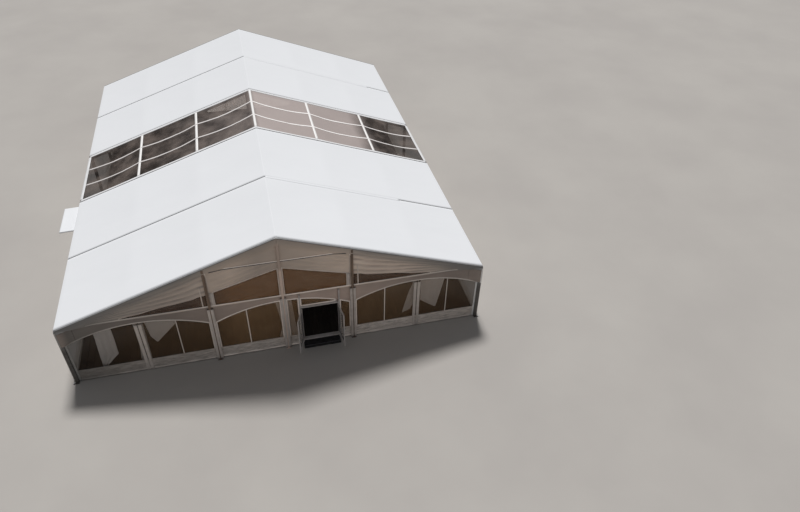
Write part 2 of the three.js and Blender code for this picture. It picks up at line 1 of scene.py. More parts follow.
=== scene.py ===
# The looks of the frame marquee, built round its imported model.
# Metres, +Z up, +X to the right along the front gable, +Y back along the ridge.
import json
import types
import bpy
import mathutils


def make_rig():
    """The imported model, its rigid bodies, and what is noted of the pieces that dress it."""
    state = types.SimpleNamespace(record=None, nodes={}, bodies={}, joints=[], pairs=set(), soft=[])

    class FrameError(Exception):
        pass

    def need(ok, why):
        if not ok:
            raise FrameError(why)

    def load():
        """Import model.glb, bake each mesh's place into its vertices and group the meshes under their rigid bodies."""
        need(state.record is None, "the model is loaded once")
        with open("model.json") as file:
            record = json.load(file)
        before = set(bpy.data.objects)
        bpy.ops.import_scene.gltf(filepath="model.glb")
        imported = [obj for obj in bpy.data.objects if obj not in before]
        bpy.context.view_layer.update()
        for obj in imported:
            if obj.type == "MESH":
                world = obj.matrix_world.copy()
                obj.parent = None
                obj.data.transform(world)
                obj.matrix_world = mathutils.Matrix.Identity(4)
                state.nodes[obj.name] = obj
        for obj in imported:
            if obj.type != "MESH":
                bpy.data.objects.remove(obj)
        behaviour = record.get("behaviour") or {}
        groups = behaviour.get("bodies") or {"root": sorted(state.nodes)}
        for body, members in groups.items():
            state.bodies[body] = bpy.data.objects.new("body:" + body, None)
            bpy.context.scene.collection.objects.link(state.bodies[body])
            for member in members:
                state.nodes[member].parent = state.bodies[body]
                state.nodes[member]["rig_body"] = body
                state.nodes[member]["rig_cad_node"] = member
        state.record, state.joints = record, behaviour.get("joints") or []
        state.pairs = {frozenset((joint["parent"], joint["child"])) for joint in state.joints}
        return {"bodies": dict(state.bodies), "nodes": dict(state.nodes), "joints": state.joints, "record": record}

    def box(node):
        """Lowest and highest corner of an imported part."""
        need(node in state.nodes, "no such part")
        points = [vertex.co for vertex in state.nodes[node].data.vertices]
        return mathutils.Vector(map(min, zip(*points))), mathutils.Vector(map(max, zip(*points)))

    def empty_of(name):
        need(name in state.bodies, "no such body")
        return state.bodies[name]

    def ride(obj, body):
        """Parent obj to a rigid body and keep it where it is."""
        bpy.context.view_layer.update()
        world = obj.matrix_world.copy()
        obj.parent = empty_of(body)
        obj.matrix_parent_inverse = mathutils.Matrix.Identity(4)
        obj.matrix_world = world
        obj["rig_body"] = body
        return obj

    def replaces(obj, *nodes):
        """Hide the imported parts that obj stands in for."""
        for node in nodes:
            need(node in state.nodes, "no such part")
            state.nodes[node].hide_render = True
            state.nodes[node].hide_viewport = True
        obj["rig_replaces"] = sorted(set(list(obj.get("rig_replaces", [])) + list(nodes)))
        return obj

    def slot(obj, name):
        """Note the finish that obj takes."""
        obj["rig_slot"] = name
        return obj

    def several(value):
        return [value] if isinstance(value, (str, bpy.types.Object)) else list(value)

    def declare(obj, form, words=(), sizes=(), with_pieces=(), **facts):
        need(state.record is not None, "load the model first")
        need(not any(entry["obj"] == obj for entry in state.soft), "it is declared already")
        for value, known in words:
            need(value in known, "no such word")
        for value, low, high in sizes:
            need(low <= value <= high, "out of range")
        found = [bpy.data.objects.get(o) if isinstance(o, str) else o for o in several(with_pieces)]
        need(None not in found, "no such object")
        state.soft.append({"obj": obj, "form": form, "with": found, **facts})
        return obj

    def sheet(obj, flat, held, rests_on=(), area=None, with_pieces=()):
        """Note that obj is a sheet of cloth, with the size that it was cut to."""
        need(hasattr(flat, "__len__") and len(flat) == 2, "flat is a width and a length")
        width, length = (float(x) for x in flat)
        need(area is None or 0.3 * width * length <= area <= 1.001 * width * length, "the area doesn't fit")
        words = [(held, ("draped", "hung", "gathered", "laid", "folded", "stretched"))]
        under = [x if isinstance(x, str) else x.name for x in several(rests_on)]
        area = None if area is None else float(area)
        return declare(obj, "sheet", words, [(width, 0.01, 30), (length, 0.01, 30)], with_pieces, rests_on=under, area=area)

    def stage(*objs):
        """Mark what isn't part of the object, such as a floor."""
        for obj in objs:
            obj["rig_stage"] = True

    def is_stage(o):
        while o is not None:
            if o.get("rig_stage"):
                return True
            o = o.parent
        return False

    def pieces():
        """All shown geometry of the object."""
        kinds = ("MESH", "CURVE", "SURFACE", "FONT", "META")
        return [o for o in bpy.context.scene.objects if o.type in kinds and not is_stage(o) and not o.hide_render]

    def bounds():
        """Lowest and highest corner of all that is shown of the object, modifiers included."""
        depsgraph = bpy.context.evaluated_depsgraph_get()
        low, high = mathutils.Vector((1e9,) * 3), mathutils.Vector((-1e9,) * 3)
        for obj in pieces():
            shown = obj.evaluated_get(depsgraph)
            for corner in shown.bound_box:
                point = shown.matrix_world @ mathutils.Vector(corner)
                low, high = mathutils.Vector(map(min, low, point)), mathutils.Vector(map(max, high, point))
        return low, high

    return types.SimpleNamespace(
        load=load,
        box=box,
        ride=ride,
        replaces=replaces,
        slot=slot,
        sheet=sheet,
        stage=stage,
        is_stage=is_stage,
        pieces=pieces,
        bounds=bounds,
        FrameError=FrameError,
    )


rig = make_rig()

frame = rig.load()

import json
import math
from collections.abc import Callable, Sequence
from dataclasses import dataclass

import bmesh
import bpy
import numpy as np
from mathutils import Matrix, Vector

CAD_BOX = [list(corner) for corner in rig.bounds()]

# The layout, mostly read from the frame
ROOF_LOW, ROOF_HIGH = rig.box("roof_front_right")
LAST_FRAME_LOW, LAST_FRAME_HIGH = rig.box("portal_frame_6")
WALL_LOW, WALL_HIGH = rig.box("front_wall_left")
PANEL_LOW, PANEL_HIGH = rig.box("front_gable_panel")
SIDE_LOW, SIDE_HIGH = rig.box("side_wall_right")
SILL_LOW, SILL_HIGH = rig.box("entrance_step")
POST_LOW, POST_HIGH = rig.box("front_mid_post_right")
FLOOR_LOW, FLOOR_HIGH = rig.box("floor")
CANOPY_LOW, CANOPY_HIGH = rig.box("side_canopy")
OVER_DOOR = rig.box("front_wall_over_door")[0].z
RAFTER_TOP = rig.box("portal_frame_1")[1].z
EAVE_LIP = 0.15
HALF_SPAN = ROOF_HIGH.x
RIDGE = ROOF_HIGH.z
EAVE = ROOF_LOW.z + EAVE_LIP
SLOPE = (RIDGE - EAVE) / HALF_SPAN
PITCH = math.atan(SLOPE)
THIRD = HALF_SPAN / 3
BAYS = 5
CLEAR_BAY = 2
LENGTH = (LAST_FRAME_LOW.y + LAST_FRAME_HIGH.y) / 2
BAY = LENGTH / BAYS
FRONT_EDGE = ROOF_LOW.y
BACK_EDGE = LENGTH - FRONT_EDGE
FRONT_PLANE = (WALL_LOW.y + WALL_HIGH.y) / 2
BACK_PLANE = LENGTH - FRONT_PLANE
SIDE_PLANE = (SIDE_LOW.x + SIDE_HIGH.x) / 2
WALL_FOOT = WALL_LOW.z
LOWER_TOP = PANEL_LOW.z
SIDE_TOP = SIDE_HIGH.z
WALL_END = -WALL_LOW.x
LEG_INSET = 0.004
LEG_EDGE = SIDE_HIGH.x - LEG_INSET
MID_LINE = (POST_LOW.x + POST_HIGH.x) / 2
DOOR_LEFT, DOOR_RIGHT = SILL_LOW.x, SILL_HIGH.x
FRAME_HALF = 0.05
UPRIGHTS = (-THIRD, 0.0, THIRD)
SIDES = ((-1, "left"), (1, "right"))
# Each gable's name, the y of its frame's middle line and its way outward
ENDS = (("front", 0.0, -1), ("back", LENGTH, 1))

# Membrane, film and bands
CLOTH_THICK = 0.002
FILM_THICK = 0.0015
FOLD_THICK = 0.003
BAND_LIFT = 0.007
OVER_LIFT = 1.6 * BAND_LIFT
TOP_LIFT = 2 * BAND_LIFT

# Walls and windows
WINDOW_EDGE = 0.17
WINDOW_FOOT = 0.65
ARCH_SPRING = 2.16
ARCH_CROWN = 2.86
ARCH_HALF = THIRD - 0.1
CORNER_WINDOW_END = 8.88
PANEL_STEP = 0.11
HEM_RISE = 0.08
HEM_WIDTH = 0.055
SEAM = 0.04
CENTRE_SEAM = 1.60
INNER_SEAM = 4.51
OUTER_SEAM = 7.47
MID_BAND = 0.14
MID_GAP = 0.03
MID_BAND_TOP = ARCH_SPRING + 0.6

# Gables
TRANSOM_LINE = 3.21
TRANSOM_REACH = 7.9
GABLE_END = 9.08
GABLE_INNER = 0.12
GABLE_INNER_TOP = 4.69
GABLE_OUTER = 2.78
GABLE_OUTER_TOP = 3.92
GABLE_SIDE = THIRD + 0.06
GABLE_SIDE_TOP = 3.83
GABLE_TIP = 6.60
SWAG_SLOPE = (GABLE_INNER_TOP - GABLE_OUTER_TOP) / (GABLE_OUTER - GABLE_INNER)
SLEEVE_LINE = THIRD + 0.25
SLEEVE_TOP = 4.27
BAR_HEIGHT = 5.11
RAFTER_BARE = 0.015
RAFTER_COVER = 0.092
UNDER_EDGE = 0.55

# Pleats: a fan from each eave corner, and flatter rows between the uprights
PLEAT_ANGLE = 0.05
PLEAT_DRIFT = 0.12
PLEAT_WANDER = 3.7
PLEAT_INSET = 0.05
FAN_START = 0.4
FAN_REACH = 7
FAN_GROWTH = 0.012
ROW_RISE = 0.24
ROW_DEPTH = 0.036

# How far slack cloth bellies out, and where its wrinkles set in
SKIRT_DEPTH = 0.030
SKIRT_TOP = 0.62
SKIRT_FULL = 0.45
LOWER_SLACK = 0.006
SIDE_SLACK = 0.012
SIDE_FOLDS = 0.014
LIP_CLEAR = 2.95
LIP_FADE = 0.25

BODY = "marquee"


# Materials
def fill(tree, made, **settings):
    """Sets a node's properties and inputs by name, with _ for a space, and links the sockets given."""
    for name, value in settings.items():
        place = name.replace("_", " ")
        if place not in made.inputs:
            setattr(made, name, value)
        elif isinstance(value, bpy.types.NodeSocket):
            tree.links.new(value, made.inputs[place])
        else:
            made.inputs[place].default_value = value
    return made


def node(tree, kind, **settings):
    return fill(tree, tree.nodes.new(f"ShaderNode{kind}"), **settings)


def own_place(tree):
    """The place in the object's own metres."""
    return node(tree, "TexCoord").outputs["Object"]


def own_axes(tree):
    """The object's own x, y and z."""
    return node(tree, "SeparateXYZ", Vector=own_place(tree)).outputs


def noise(tree, scale, stretch=(1, 1, 1), detail=4.0, rough=0.55):
    """A noise pattern in the object's own metres, drawn out along an axis by a small stretch value."""
    place = node(tree, "Mapping", Vector=own_place(tree), Scale=stretch).outputs["Vector"]
    return node(tree, "TexNoise", Vector=place, Scale=scale, Detail=detail, Roughness=rough).outputs["Fac"]


def spread(tree, value, low, high, start=0.35, end=0.65):
    """value from start to end taken to low to high."""
    return node(tree, "MapRange", Value=value, From_Min=start, From_Max=end, To_Min=low,
                To_Max=high).outputs["Result"]


def blend(tree, amount, first, second, kind="RGBA"):
    """first where amount is 0 and second where it is 1. Each is a socket, a colour or a number."""
    first, second = ((*end, 1.0) if isinstance(end, tuple) else end for end in (first, second))
    return node(tree, "Mix", data_type=kind, Factor=amount, A=first, B=second).outputs["Result"]


def calc(tree, operation, *values):
    """A sum worked out from sockets and numbers."""
    made = node(tree, "Math", operation=operation)
    for socket, value in zip(made.inputs, values):
        if isinstance(value, bpy.types.NodeSocket):
            tree.links.new(value, socket)
        else:
            socket.default_value = value
    return made.outputs[0]


def along_axis(tree, axis, start, end):
    """0 to 1 as the object's own coordinate goes from start to end."""
    return spread(tree, own_axes(tree)[axis], 0.0, 1.0, start, end)


def across_roof(tree, stops):
    """A value that changes along x. stops are (x, value) pairs, from left to right."""
    ramp = node(tree, "ValToRGB", Fac=along_axis(tree, "X", -HALF_SPAN, HALF_SPAN))
    keys = ramp.color_ramp.elements
    while len(keys) < len(stops):
        keys.new(0.5)
    for key, (x, value) in zip(keys, stops):
        key.position = (x + HALF_SPAN) / (2 * HALF_SPAN)
        key.color = (value, value, value, 1.0)
    return ramp.outputs["Color"]


def fan_valley_shade(tree):
    """Up to 1 in the valleys of the pleats that fan out from the eave corners, and 0 on their crests: where
    painted shade goes.
    """
    axes = own_axes(tree)
    inward = calc(tree, "SUBTRACT", HALF_SPAN + PLEAT_INSET, calc(tree, "ABSOLUTE", axes["X"]))
    angle = calc(tree, "ARCTAN2", calc(tree, "SUBTRACT", axes["Z"], EAVE), inward)
    drift = calc(tree, "SINE", calc(tree, "MULTIPLY", inward, 2 * math.pi / PLEAT_WANDER))
    drift = calc(tree, "MULTIPLY", drift, PLEAT_DRIFT)
    turns = calc(tree, "ADD", calc(tree, "DIVIDE", angle, PLEAT_ANGLE), drift)
    wave = calc(tree, "SINE", calc(tree, "MULTIPLY", turns, 2 * math.pi))
    strength = spread(tree, noise(tree, 0.9, (1, 1, 2.5)), 0.3, 1.0)
    return calc(tree, "MULTIPLY", spread(tree, wave, 1.0, 0.0, -1.0, 0.3), strength)


def shade_under_roof_edge(tree, strength):
    """Painted shadow of the roof's overhang: strength at the gable's sloping upper edge, less and less below
    it, and 0 from UNDER_EDGE down.
    """
    axes = own_axes(tree)
    fall = calc(tree, "MULTIPLY", calc(tree, "ABSOLUTE", axes["X"]), SLOPE)
    below = calc(tree, "SUBTRACT", RAFTER_TOP, calc(tree, "ADD", axes["Z"], fall))
    return spread(tree, below, strength, 0.0, 0.03, UNDER_EDGE)


def new_material(name):
    material = bpy.data.materials.new(name)
    material.use_nodes = True
    return material, material.node_tree


def cover(tree, height, strength, distance, **sockets):
    """The shader's sockets, and its bumps from a height pattern."""
    bump = node(tree, "Bump", Strength=strength, Distance=distance, Height=height)
    fill(tree, tree.nodes["Principled BSDF"], Normal=bump.outputs["Normal"], **sockets)


def finish(name, light, dark, patch=3.0, stretch=(1, 1, 1), rough=(0.45, 0.6), grain=220.0, relief=0.0004,
           grain_stretch=(1, 1, 1), foot=None, shade=None, stops=(), foot_stops=(), edge=0.0, valley=None,
           glow=0.0, **sockets):
    """A surface that varies between two colours in patches, with uneven roughness and a fine relief.
    foot is (light, dark, low, high): the surface is streaked with those colours below low, and less and
    less up to high. shade is a colour of painted shade: stops say how much of it the surface has along x,
    foot_stops how much the streaked foot has, and edge how much there is under the roof's edge, as
    painted shadow of the overhang. valley is the colour of painted shade in the valleys of the pleats.
    glow is painted light: how strongly the surface gives off its own colour, though it is no lamp."""
    material, tree = new_material(name)
    stain = noise(tree, patch, stretch)
    colour = blend(tree, spread(tree, stain, 0.0, 1.0), light, dark)
    # Painted shade: in the pleats' valleys, along x and under the roof's edge.
    if valley:
        colour = blend(tree, fan_valley_shade(tree), colour, valley)
    if shade:
        colour = blend(tree, across_roof(tree, stops), colour, shade)
    if edge:
        colour = blend(tree, shade_under_roof_edge(tree, edge), colour, shade)
    if foot:
        foot_light, foot_dark, low, high = foot
        streaks = spread(tree, noise(tree, 2.6, (0.8, 0.8, 5), detail=6.0, rough=0.7), 0.0, 1.0, 0.38, 0.62)
        streaked = blend(tree, streaks, foot_dark, foot_light)
        if foot_stops:
            streaked = blend(tree, across_roof(tree, foot_stops), streaked, shade)
        colour = blend(tree, along_axis(tree, "Z", low, high), streaked, colour)
    # Painted light: the surface gives off its own colour, though it is no lamp.
    if glow:
        sockets.update(Emission_Color=colour, Emission_Strength=glow)
    cover(tree, noise(tree, grain, grain_stretch, detail=2.0), 0.35, relief, Base_Color=colour,
          Roughness=spread(tree, stain, *rough), **sockets)
    return material


def cloth_finish(name, light, dark, **more):
    """Coated cloth in upright patches, with a fine weave."""
    return finish(name, light, dark, 0.7, (1, 1, 2.5), (0.5, 0.68), 160.0, **more)


def clear_finish(name, tint_and_reflection, alpha, haze_and_reflection, wave_scale, wave, far=None, stops=()):
    """Clear vinyl: a tinted, hazy sheet in uneven patches, with scuffs and long shallow waves that catch the light.
    Its two colours are partly its own and partly painted reflection of what is round it. far is another
    (colour, opacity) of painted reflection, and stops say how much of it the sheet has along x."""
    material, tree = new_material(name)
    mist = noise(tree, 0.9, (1, 1, 1.6), detail=6.0)
    colour = blend(tree, spread(tree, mist, 0.0, 1.0), tint_and_reflection, haze_and_reflection)
    opacity = spread(tree, mist, *alpha)
    if far:
        share = across_roof(tree, stops)
        colour = blend(tree, share, colour, far[0])
        opacity = blend(tree, share, opacity, far[1], "FLOAT")
    cover(tree, noise(tree, wave_scale, detail=3.0), 0.5, wave, Base_Color=colour, Alpha=opacity,
          Roughness=spread(tree, noise(tree, 5.0), 0.08, 0.22), IOR=1.5)
    return material


def board_finish(name, board, light, dark):
    """Timber boards that run along y: each board has its own tone, with grain along it."""
    material, tree = new_material(name)
    number = calc(tree, "FLOOR", calc(tree, "DIVIDE", own_axes(tree)["X"], board))
    tone = node(tree, "TexWhiteNoise", noise_dimensions="1D", W=number).outputs["Value"]
    streak = spread(tree, noise(tree, 14.0, (1, 0.05, 1), detail=5.0), 0.0, 0.5)
    darker = tuple(0.55 * part for part in dark)
    cover(tree, noise(tree, 60.0, (1, 0.05, 1)), 0.3, 0.001,
          Base_Color=blend(tree, streak, blend(tree, tone, light, dark), darker),
          Roughness=spread(tree, noise(tree, 2.0), 0.45, 0.75))
    return material


# Coated cloth of the roof, its folded edges and the bands of its clear bay
ROOF_ROUGH = (0.5, 0.62)
ROOF_WHITE = finish(
    "roof_membrane", (0.87, 0.885, 0.91), (0.84, 0.855, 0.88), 0.5, (0.25, 1, 1), ROOF_ROUGH)
# The bands' and seams' glow is painted light. The seams' stops paint shade on the left slope and towards the right
# eave.
FILM_BAND = finish(
    "clear_bay_bands", (0.97, 0.955, 0.94), (0.92, 0.905, 0.89), 2.5, rough=ROOF_ROUGH, glow=0.07)
SEAM_BAND = finish(
    "clear_bay_seams", (0.97, 0.935, 0.915), (0.92, 0.885, 0.865), 2.5, rough=ROOF_ROUGH, glow=0.16,
    shade=(0.60, 0.565, 0.55), stops=((-8.8, 0.90), (-0.3, 0.65), (0.3, 0.0), (5.0, 0.10), (6.6, 0.60)))
LIP_WHITE = finish("roof_edge", (0.88, 0.88, 0.89), (0.80, 0.80, 0.81), 2.5, rough=ROOF_ROUGH)

# Coated cloth of the walls and gables, its bands, and the curtains' cloth
# The gable cloth is darker and warmer than the white membrane: painted shade with painted warm bounce light. Its stops
# paint shade that varies along x, most just left of the middle, and edge paints shade under the roof's edge.
GABLE_CLOTH = cloth_finish(
    "gable_membrane", (0.90, 0.735, 0.61), (0.79, 0.645, 0.535), shade=(0.37, 0.315, 0.275), edge=0.8,
    stops=((-3.2, 0.40), (-2.0, 0.22), (-0.9, 0.70), (1.2, 0.40), (3.0, 0.05)))
# The outer gable cloth is darker and warmer than the white membrane: painted shade with painted warm bounce light. Its
# stops paint more shade towards both corners, edge paints shade under the roof's edge, and valley paints shade in the
# pleats' valleys.
PLEATED_CLOTH = cloth_finish(
    "pleated_membrane", (0.96, 0.795, 0.67), (0.86, 0.71, 0.60), shade=(0.19, 0.187, 0.183), edge=0.7,
    valley=(0.48, 0.385, 0.33),
    stops=((-8.8, 1.0), (-7.8, 0.86), (-6.6, 0.66), (-5.4, 0.55), (-3.2, 0.32), (3.2, 0.05),
           (5.4, 0.20), (6.6, 0.45), (7.8, 0.78), (8.6, 0.98)))
# The lower walls' cloth is taupe where the side walls' same membrane is white: painted shade. Its stops paint more
# shade towards the corners and the left. Its lighter streaked foot under the windows is painted light bounced from the
# ground, and foot_stops paint shade on it towards both ends, most at the left.
WALL_CLOTH = cloth_finish(
    "wall_membrane", (0.61, 0.475, 0.405), (0.50, 0.39, 0.335), shade=(0.13, 0.122, 0.112),
    foot=((1.0, 0.90, 0.815), (0.545, 0.475, 0.42), WINDOW_FOOT - 0.04, WINDOW_FOOT + 0.02),
    stops=((-9.0, 0.60), (-8.7, 0.94), (-7.1, 0.82), (-5.2, 0.72), (-3.0, 0.45), (-1.5, 0.20),
           (1.0, 0.0), (3.0, 0.0), (4.4, 0.26), (6.3, 0.54), (8.8, 0.60)),
    foot_stops=((-8.8, 0.85), (-6.2, 0.45), (-3.8, 0.38), (-2.2, 0.15), (5.0, 0.0), (8.8, 0.30)))
# The side walls' glow is painted light, standing for daylight through the cloth.
SIDE_CLOTH = cloth_finish(
    "side_membrane", (0.84, 0.81, 0.78), (0.74, 0.71, 0.68), glow=0.09,
    foot=((0.80, 0.76, 0.71), (0.42, 0.40, 0.36), 0.2, WINDOW_FOOT))
# The bands' glow is painted light, and their stops paint shade that varies along x, darkest at the left.
BAND_WHITE = finish(
    "border_bands", (0.92, 0.825, 0.75), (0.82, 0.73, 0.665), glow=0.10, shade=(0.21, 0.197, 0.18),
    stops=((-8.5, 0.95), (-7.4, 0.74), (-6.6, 0.55), (-5.0, 0.55), (-3.4, 0.34), (-2.5, 0.10),
           (-1.5, 0.20), (0.5, 0.0), (2.8, 0.0), (3.8, 0.25), (5.4, 0.42), (8.5, 0.52)))
GABLE_BAND = finish("gable_bands", (0.84, 0.74, 0.66), (0.72, 0.63, 0.56))
POST_BAND = finish("post_bands", (0.73, 0.65, 0.595), (0.61, 0.545, 0.495))
# The corner welts' stops paint shade on the left corner.
CORNER_WHITE = finish(
    "corner_welts", (0.96, 0.95, 0.93), (0.86, 0.85, 0.83), shade=(0.36, 0.35, 0.33),
    stops=((-9.0, 1.0), (9.0, 0.0)))
CURTAIN = finish(
    "curtain_cloth", (0.96, 0.93, 0.90), (0.88, 0.85, 0.82), 1.5, (1, 1, 0.5), (0.7, 0.85), 400.0, 0.0006)

# Clear film and the door's glazing
# The roof film's pale far tone over its right half is painted reflection of the sky, fading out before the right eave.
ROOF_FILM = clear_finish(
    "roof_film", (0.06, 0.044, 0.036), (0.14, 0.34), (0.27, 0.215, 0.185), 1.4, 0.02,
    far=((0.70, 0.61, 0.58), 0.63),
    stops=((-8.5, 0.0), (-4.5, 0.07), (-0.2, 0.28), (0.2, 1.0), (5.4, 0.90), (6.6, 0.04)))
# The wall film's brown is painted reflection of the paving in front. Its darker far tone towards the ends paints less
# of it.
WALL_FILM = clear_finish(
    "wall_film", (0.44, 0.255, 0.125), (0.28, 0.33), (0.51, 0.32, 0.17), 2.2, 0.006,
    far=((0.07, 0.045, 0.030), 0.22),
    stops=((-8.5, 1.0), (-6.2, 0.75), (-3.2, 0.45), (-2.0, 0.0), (3.0, 0.15), (8.5, 0.75)))
# The gable film's brown is painted reflection of the ground in front. Its darker far tone towards both ends paints
# less of it.
GABLE_FILM = clear_finish(
    "gable_film", (0.36, 0.185, 0.085), (0.50, 0.60), (0.395, 0.225, 0.12), 2.2, 0.006,
    far=((0.16, 0.10, 0.07), 0.45),
    stops=((-4.0, 1.0), (-3.0, 0.7), (-2.0, 0.0), (2.8, 0.15), (3.2, 0.8)))
DOOR_GLASS = clear_finish("door_glass", (0.30, 0.28, 0.27), (0.38, 0.46), (0.40, 0.38, 0.36), 3.0, 0.001)

# Metal, rubber, timber and the step's mat
UPRIGHT_STREAKS = (1, 1, 0.2)
ALUMINIUM = finish(
    "aluminium", (0.33, 0.33, 0.33), (0.26, 0.26, 0.265), 6.0, UPRIGHT_STREAKS, grain=90.0,
    relief=0.0003, foot=((0.13, 0.12, 0.11), (0.065, 0.06, 0.055), 1.9, 2.9), Metallic=0.3)
PURLIN_WHITE = finish(
    "coated_purlins", (0.86, 0.86, 0.86), (0.72, 0.72, 0.72), stretch=(1, 0.1, 1), rough=(0.35, 0.5))
# The dark brown of the outer uprights and of the plates at their heads is painted shade and painted reflection of dark
# surroundings on aluminium.
SHADED_METAL = finish(
    "weathered_uprights", (0.23, 0.160, 0.118), (0.14, 0.100, 0.076), 5.0, UPRIGHT_STREAKS, (0.4, 0.6),
    90.0, Metallic=0.3)
COATED_POST = finish(
    "coated_post", (0.57, 0.45, 0.375), (0.49, 0.385, 0.325), 5.0, UPRIGHT_STREAKS, (0.4, 0.55),
    foot=((0.84, 0.655, 0.55), (0.76, 0.59, 0.495), 4.55, 4.8))
STEEL = finish(
    "galvanised_steel", (0.46, 0.47, 0.48), (0.30, 0.31, 0.32), 18.0, rough=(0.35, 0.6), grain=60.0,
    relief=0.0005, Metallic=0.8)
DOOR_WHITE = finish("door_coating", (0.62, 0.58, 0.56), (0.50, 0.46, 0.44), 4.0, (1, 1, 0.4), (0.35, 0.5))
RUBBER = finish("joint_rubber", (0.10, 0.10, 0.11), (0.05, 0.05, 0.055), 12.0, rough=(0.6, 0.8))
MAT = finish(
    "step_mat", (0.022, 0.020, 0.021), (0.012, 0.011, 0.012), 6.0, rough=(0.75, 0.95), grain=300.0,
    relief=0.002)
PLANK = 0.30
BOARDS = board_finish("floor_boards", PLANK, (0.035, 0.026, 0.020), (0.020, 0.015, 0.012))
TIMBER = finish(
    "bearer_timber", (0.26, 0.19, 0.12), (0.17, 0.12, 0.075), 5.0, (1, 0.08, 1), (0.6, 0.8), 50.0, 0.001,
    (1, 0.05, 1))


# Meshes
def link(obj):
    bpy.context.scene.collection.objects.link(obj)
    return obj


def soften(obj, width):
    """Rounds an object's sharp edges."""
    edge = obj.modifiers.new("edges", "BEVEL")
    edge.width = width
    edge.segments = 2
    edge.limit_method = "ANGLE"
    return edge


def rectangle(a, b):
    """A rectangle's corners, from its two ends each way."""
    return [(a[0], b[0]), (a[1], b[0]), (a[1], b[1]), (a[0], b[1])]


class Skin:
    """Points and faces gathered for one piece. Each method that adds to it gives it back."""

    def __init__(self):
        self.points = []
        self.faces = []
        self.count = 0

    def add(self, points, faces):
        points = np.asarray(points, float).reshape(-1, 3)
        self.points.append(points)
        self.faces.extend(tuple(self.count + index for index in face) for face in faces)
        self.count += len(points)
        return self

    def grid(self, points, keep=None):
        """points is rows by columns by 3. keep holds one flag a cell."""
        rows, columns = points.shape[:2]
        cells = np.argwhere(np.ones((rows - 1, columns - 1)) if keep is None else keep)
        firsts = [row * columns + column for row, column in cells.tolist()]
        return self.add(points, [(at, at + 1, at + columns + 1, at + columns) for at in firsts])

    def prism(self, outline, to_point, low, high):
        """outline is a closed loop of pairs, run from low to high along the third direction."""
        count = len(outline)
        points = [to_point(a, b, level) for level in (low, high) for a, b in outline]
        sides = [(i, (i + 1) % count, count + (i + 1) % count, count + i) for i in range(count)]
        caps = [tuple(reversed(range(count))), tuple(range(count, 2 * count))]
        return self.add(points, sides + caps)

    def box(self, x, y, z):
        """A box, from its two ends each way."""
        return self.prism(rectangle(x, y), lambda *point: point, *z)

    def rod(self, start, end, radius, sides=12):
        start, end = Vector(start), Vector(end)
        along = (end - start).normalized()
        across = along.orthogonal().normalized()
        other = along.cross(across)
        turns = [2 * math.pi * side / sides for side in range(sides)]
        outline = [(radius * math.cos(turn), radius * math.sin(turn)) for turn in turns]

        def to_point(a, b, level):
            return start + across * a + other * b + along * level
        return self.prism(outline, to_point, 0.0, (end - start).length)

    def piece(self, name, material, slot="frame_aluminium", bevel=0.0, body=BODY, smooth=False, thick=0.0):
        """The finished piece, with its doubled points joined and its edges softened by bevel."""
        made = bmesh.new()
        mesh = bpy.data.meshes.new(name)
        mesh.from_pydata(np.concatenate(self.points).tolist(), [], self.faces)
        made.from_mesh(mesh)
        bmesh.ops.remove_doubles(made, verts=made.verts, dist=1e-4)
        bmesh.ops.dissolve_degenerate(made, edges=made.edges, dist=1e-4)
        loose = [vertex for vertex in made.verts if not vertex.link_faces]
        bmesh.ops.delete(made, geom=loose, context="VERTS")
        bmesh.ops.recalc_face_normals(made, faces=made.faces)
        made.to_mesh(mesh)
        made.free()
        mesh.materials.append(material)
        if smooth:
            mesh.shade_smooth()
        obj = link(bpy.data.objects.new(name, mesh))
        if thick:
            solid = obj.modifiers.new("thickness", "SOLIDIFY")
            solid.thickness = thick
            solid.offset = 0.0
        if bevel:
            soften(obj, bevel).harden_normals = True
        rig.ride(obj, body)
        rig.slot(obj, slot)
        return obj

    def sheet(self, name, material, slot="white_membrane", thick=CLOTH_THICK):
        """A thin piece, smooth and given its thickness."""
        return self.piece(name, material, slot, smooth=True, thick=thick)


def waves(a, b, pitch_a, pitch_b, seed, parts=5):
    """An uneven surface from about -1 to 1, the same at every run, with its own pitch each way."""
    chance = np.random.default_rng(seed)
    total = np.zeros(np.broadcast(a, b).shape)
    weight = 0.0
    for part in range(parts):
        share = 1 / (1 + 0.6 * part)
        turns_a = (1 + 0.7 * part) / pitch_a * chance.uniform(0.6, 1.2) * chance.choice((-1, 1))
        turns_b = (1 + 0.7 * part) / pitch_b * chance.uniform(0.6, 1.2)
        start = chance.uniform(0, 2 * math.pi)
        total = total + share * np.sin(2 * math.pi * (a * turns_a + b * turns_b) + start)
        weight += share
    return total / weight


def upward(wave):
    """A wave from -1 to 1 taken to 0 to 1."""
    return 0.5 + 0.5 * wave


def ease(value, start, end):
    """0 before start, 1 after end, and smooth between them."""
    share = np.clip((value - start) / (end - start), 0, 1)
    return share * share * (3 - 2 * share)


def longest(points, axis):
    """The longest row or column of a grid of points, along the surface."""
    return float(np.linalg.norm(np.diff(points, axis=axis), axis=-1).sum(axis).max())


# Camera, from the photograph's solved view
IMAGE_WIDTH = 800
FOCAL_PIXELS = 644.094
SENSOR = 36.0
CAMERA_PLACE = Vector((-0.67438, -20.6415, 22.24854))
CAMERA_FORWARD = Vector((0.2093926, 0.7409041, -0.6381346))
CAMERA_RIGHT = Vector((0.9678496, -0.2500473, 0.0272662))


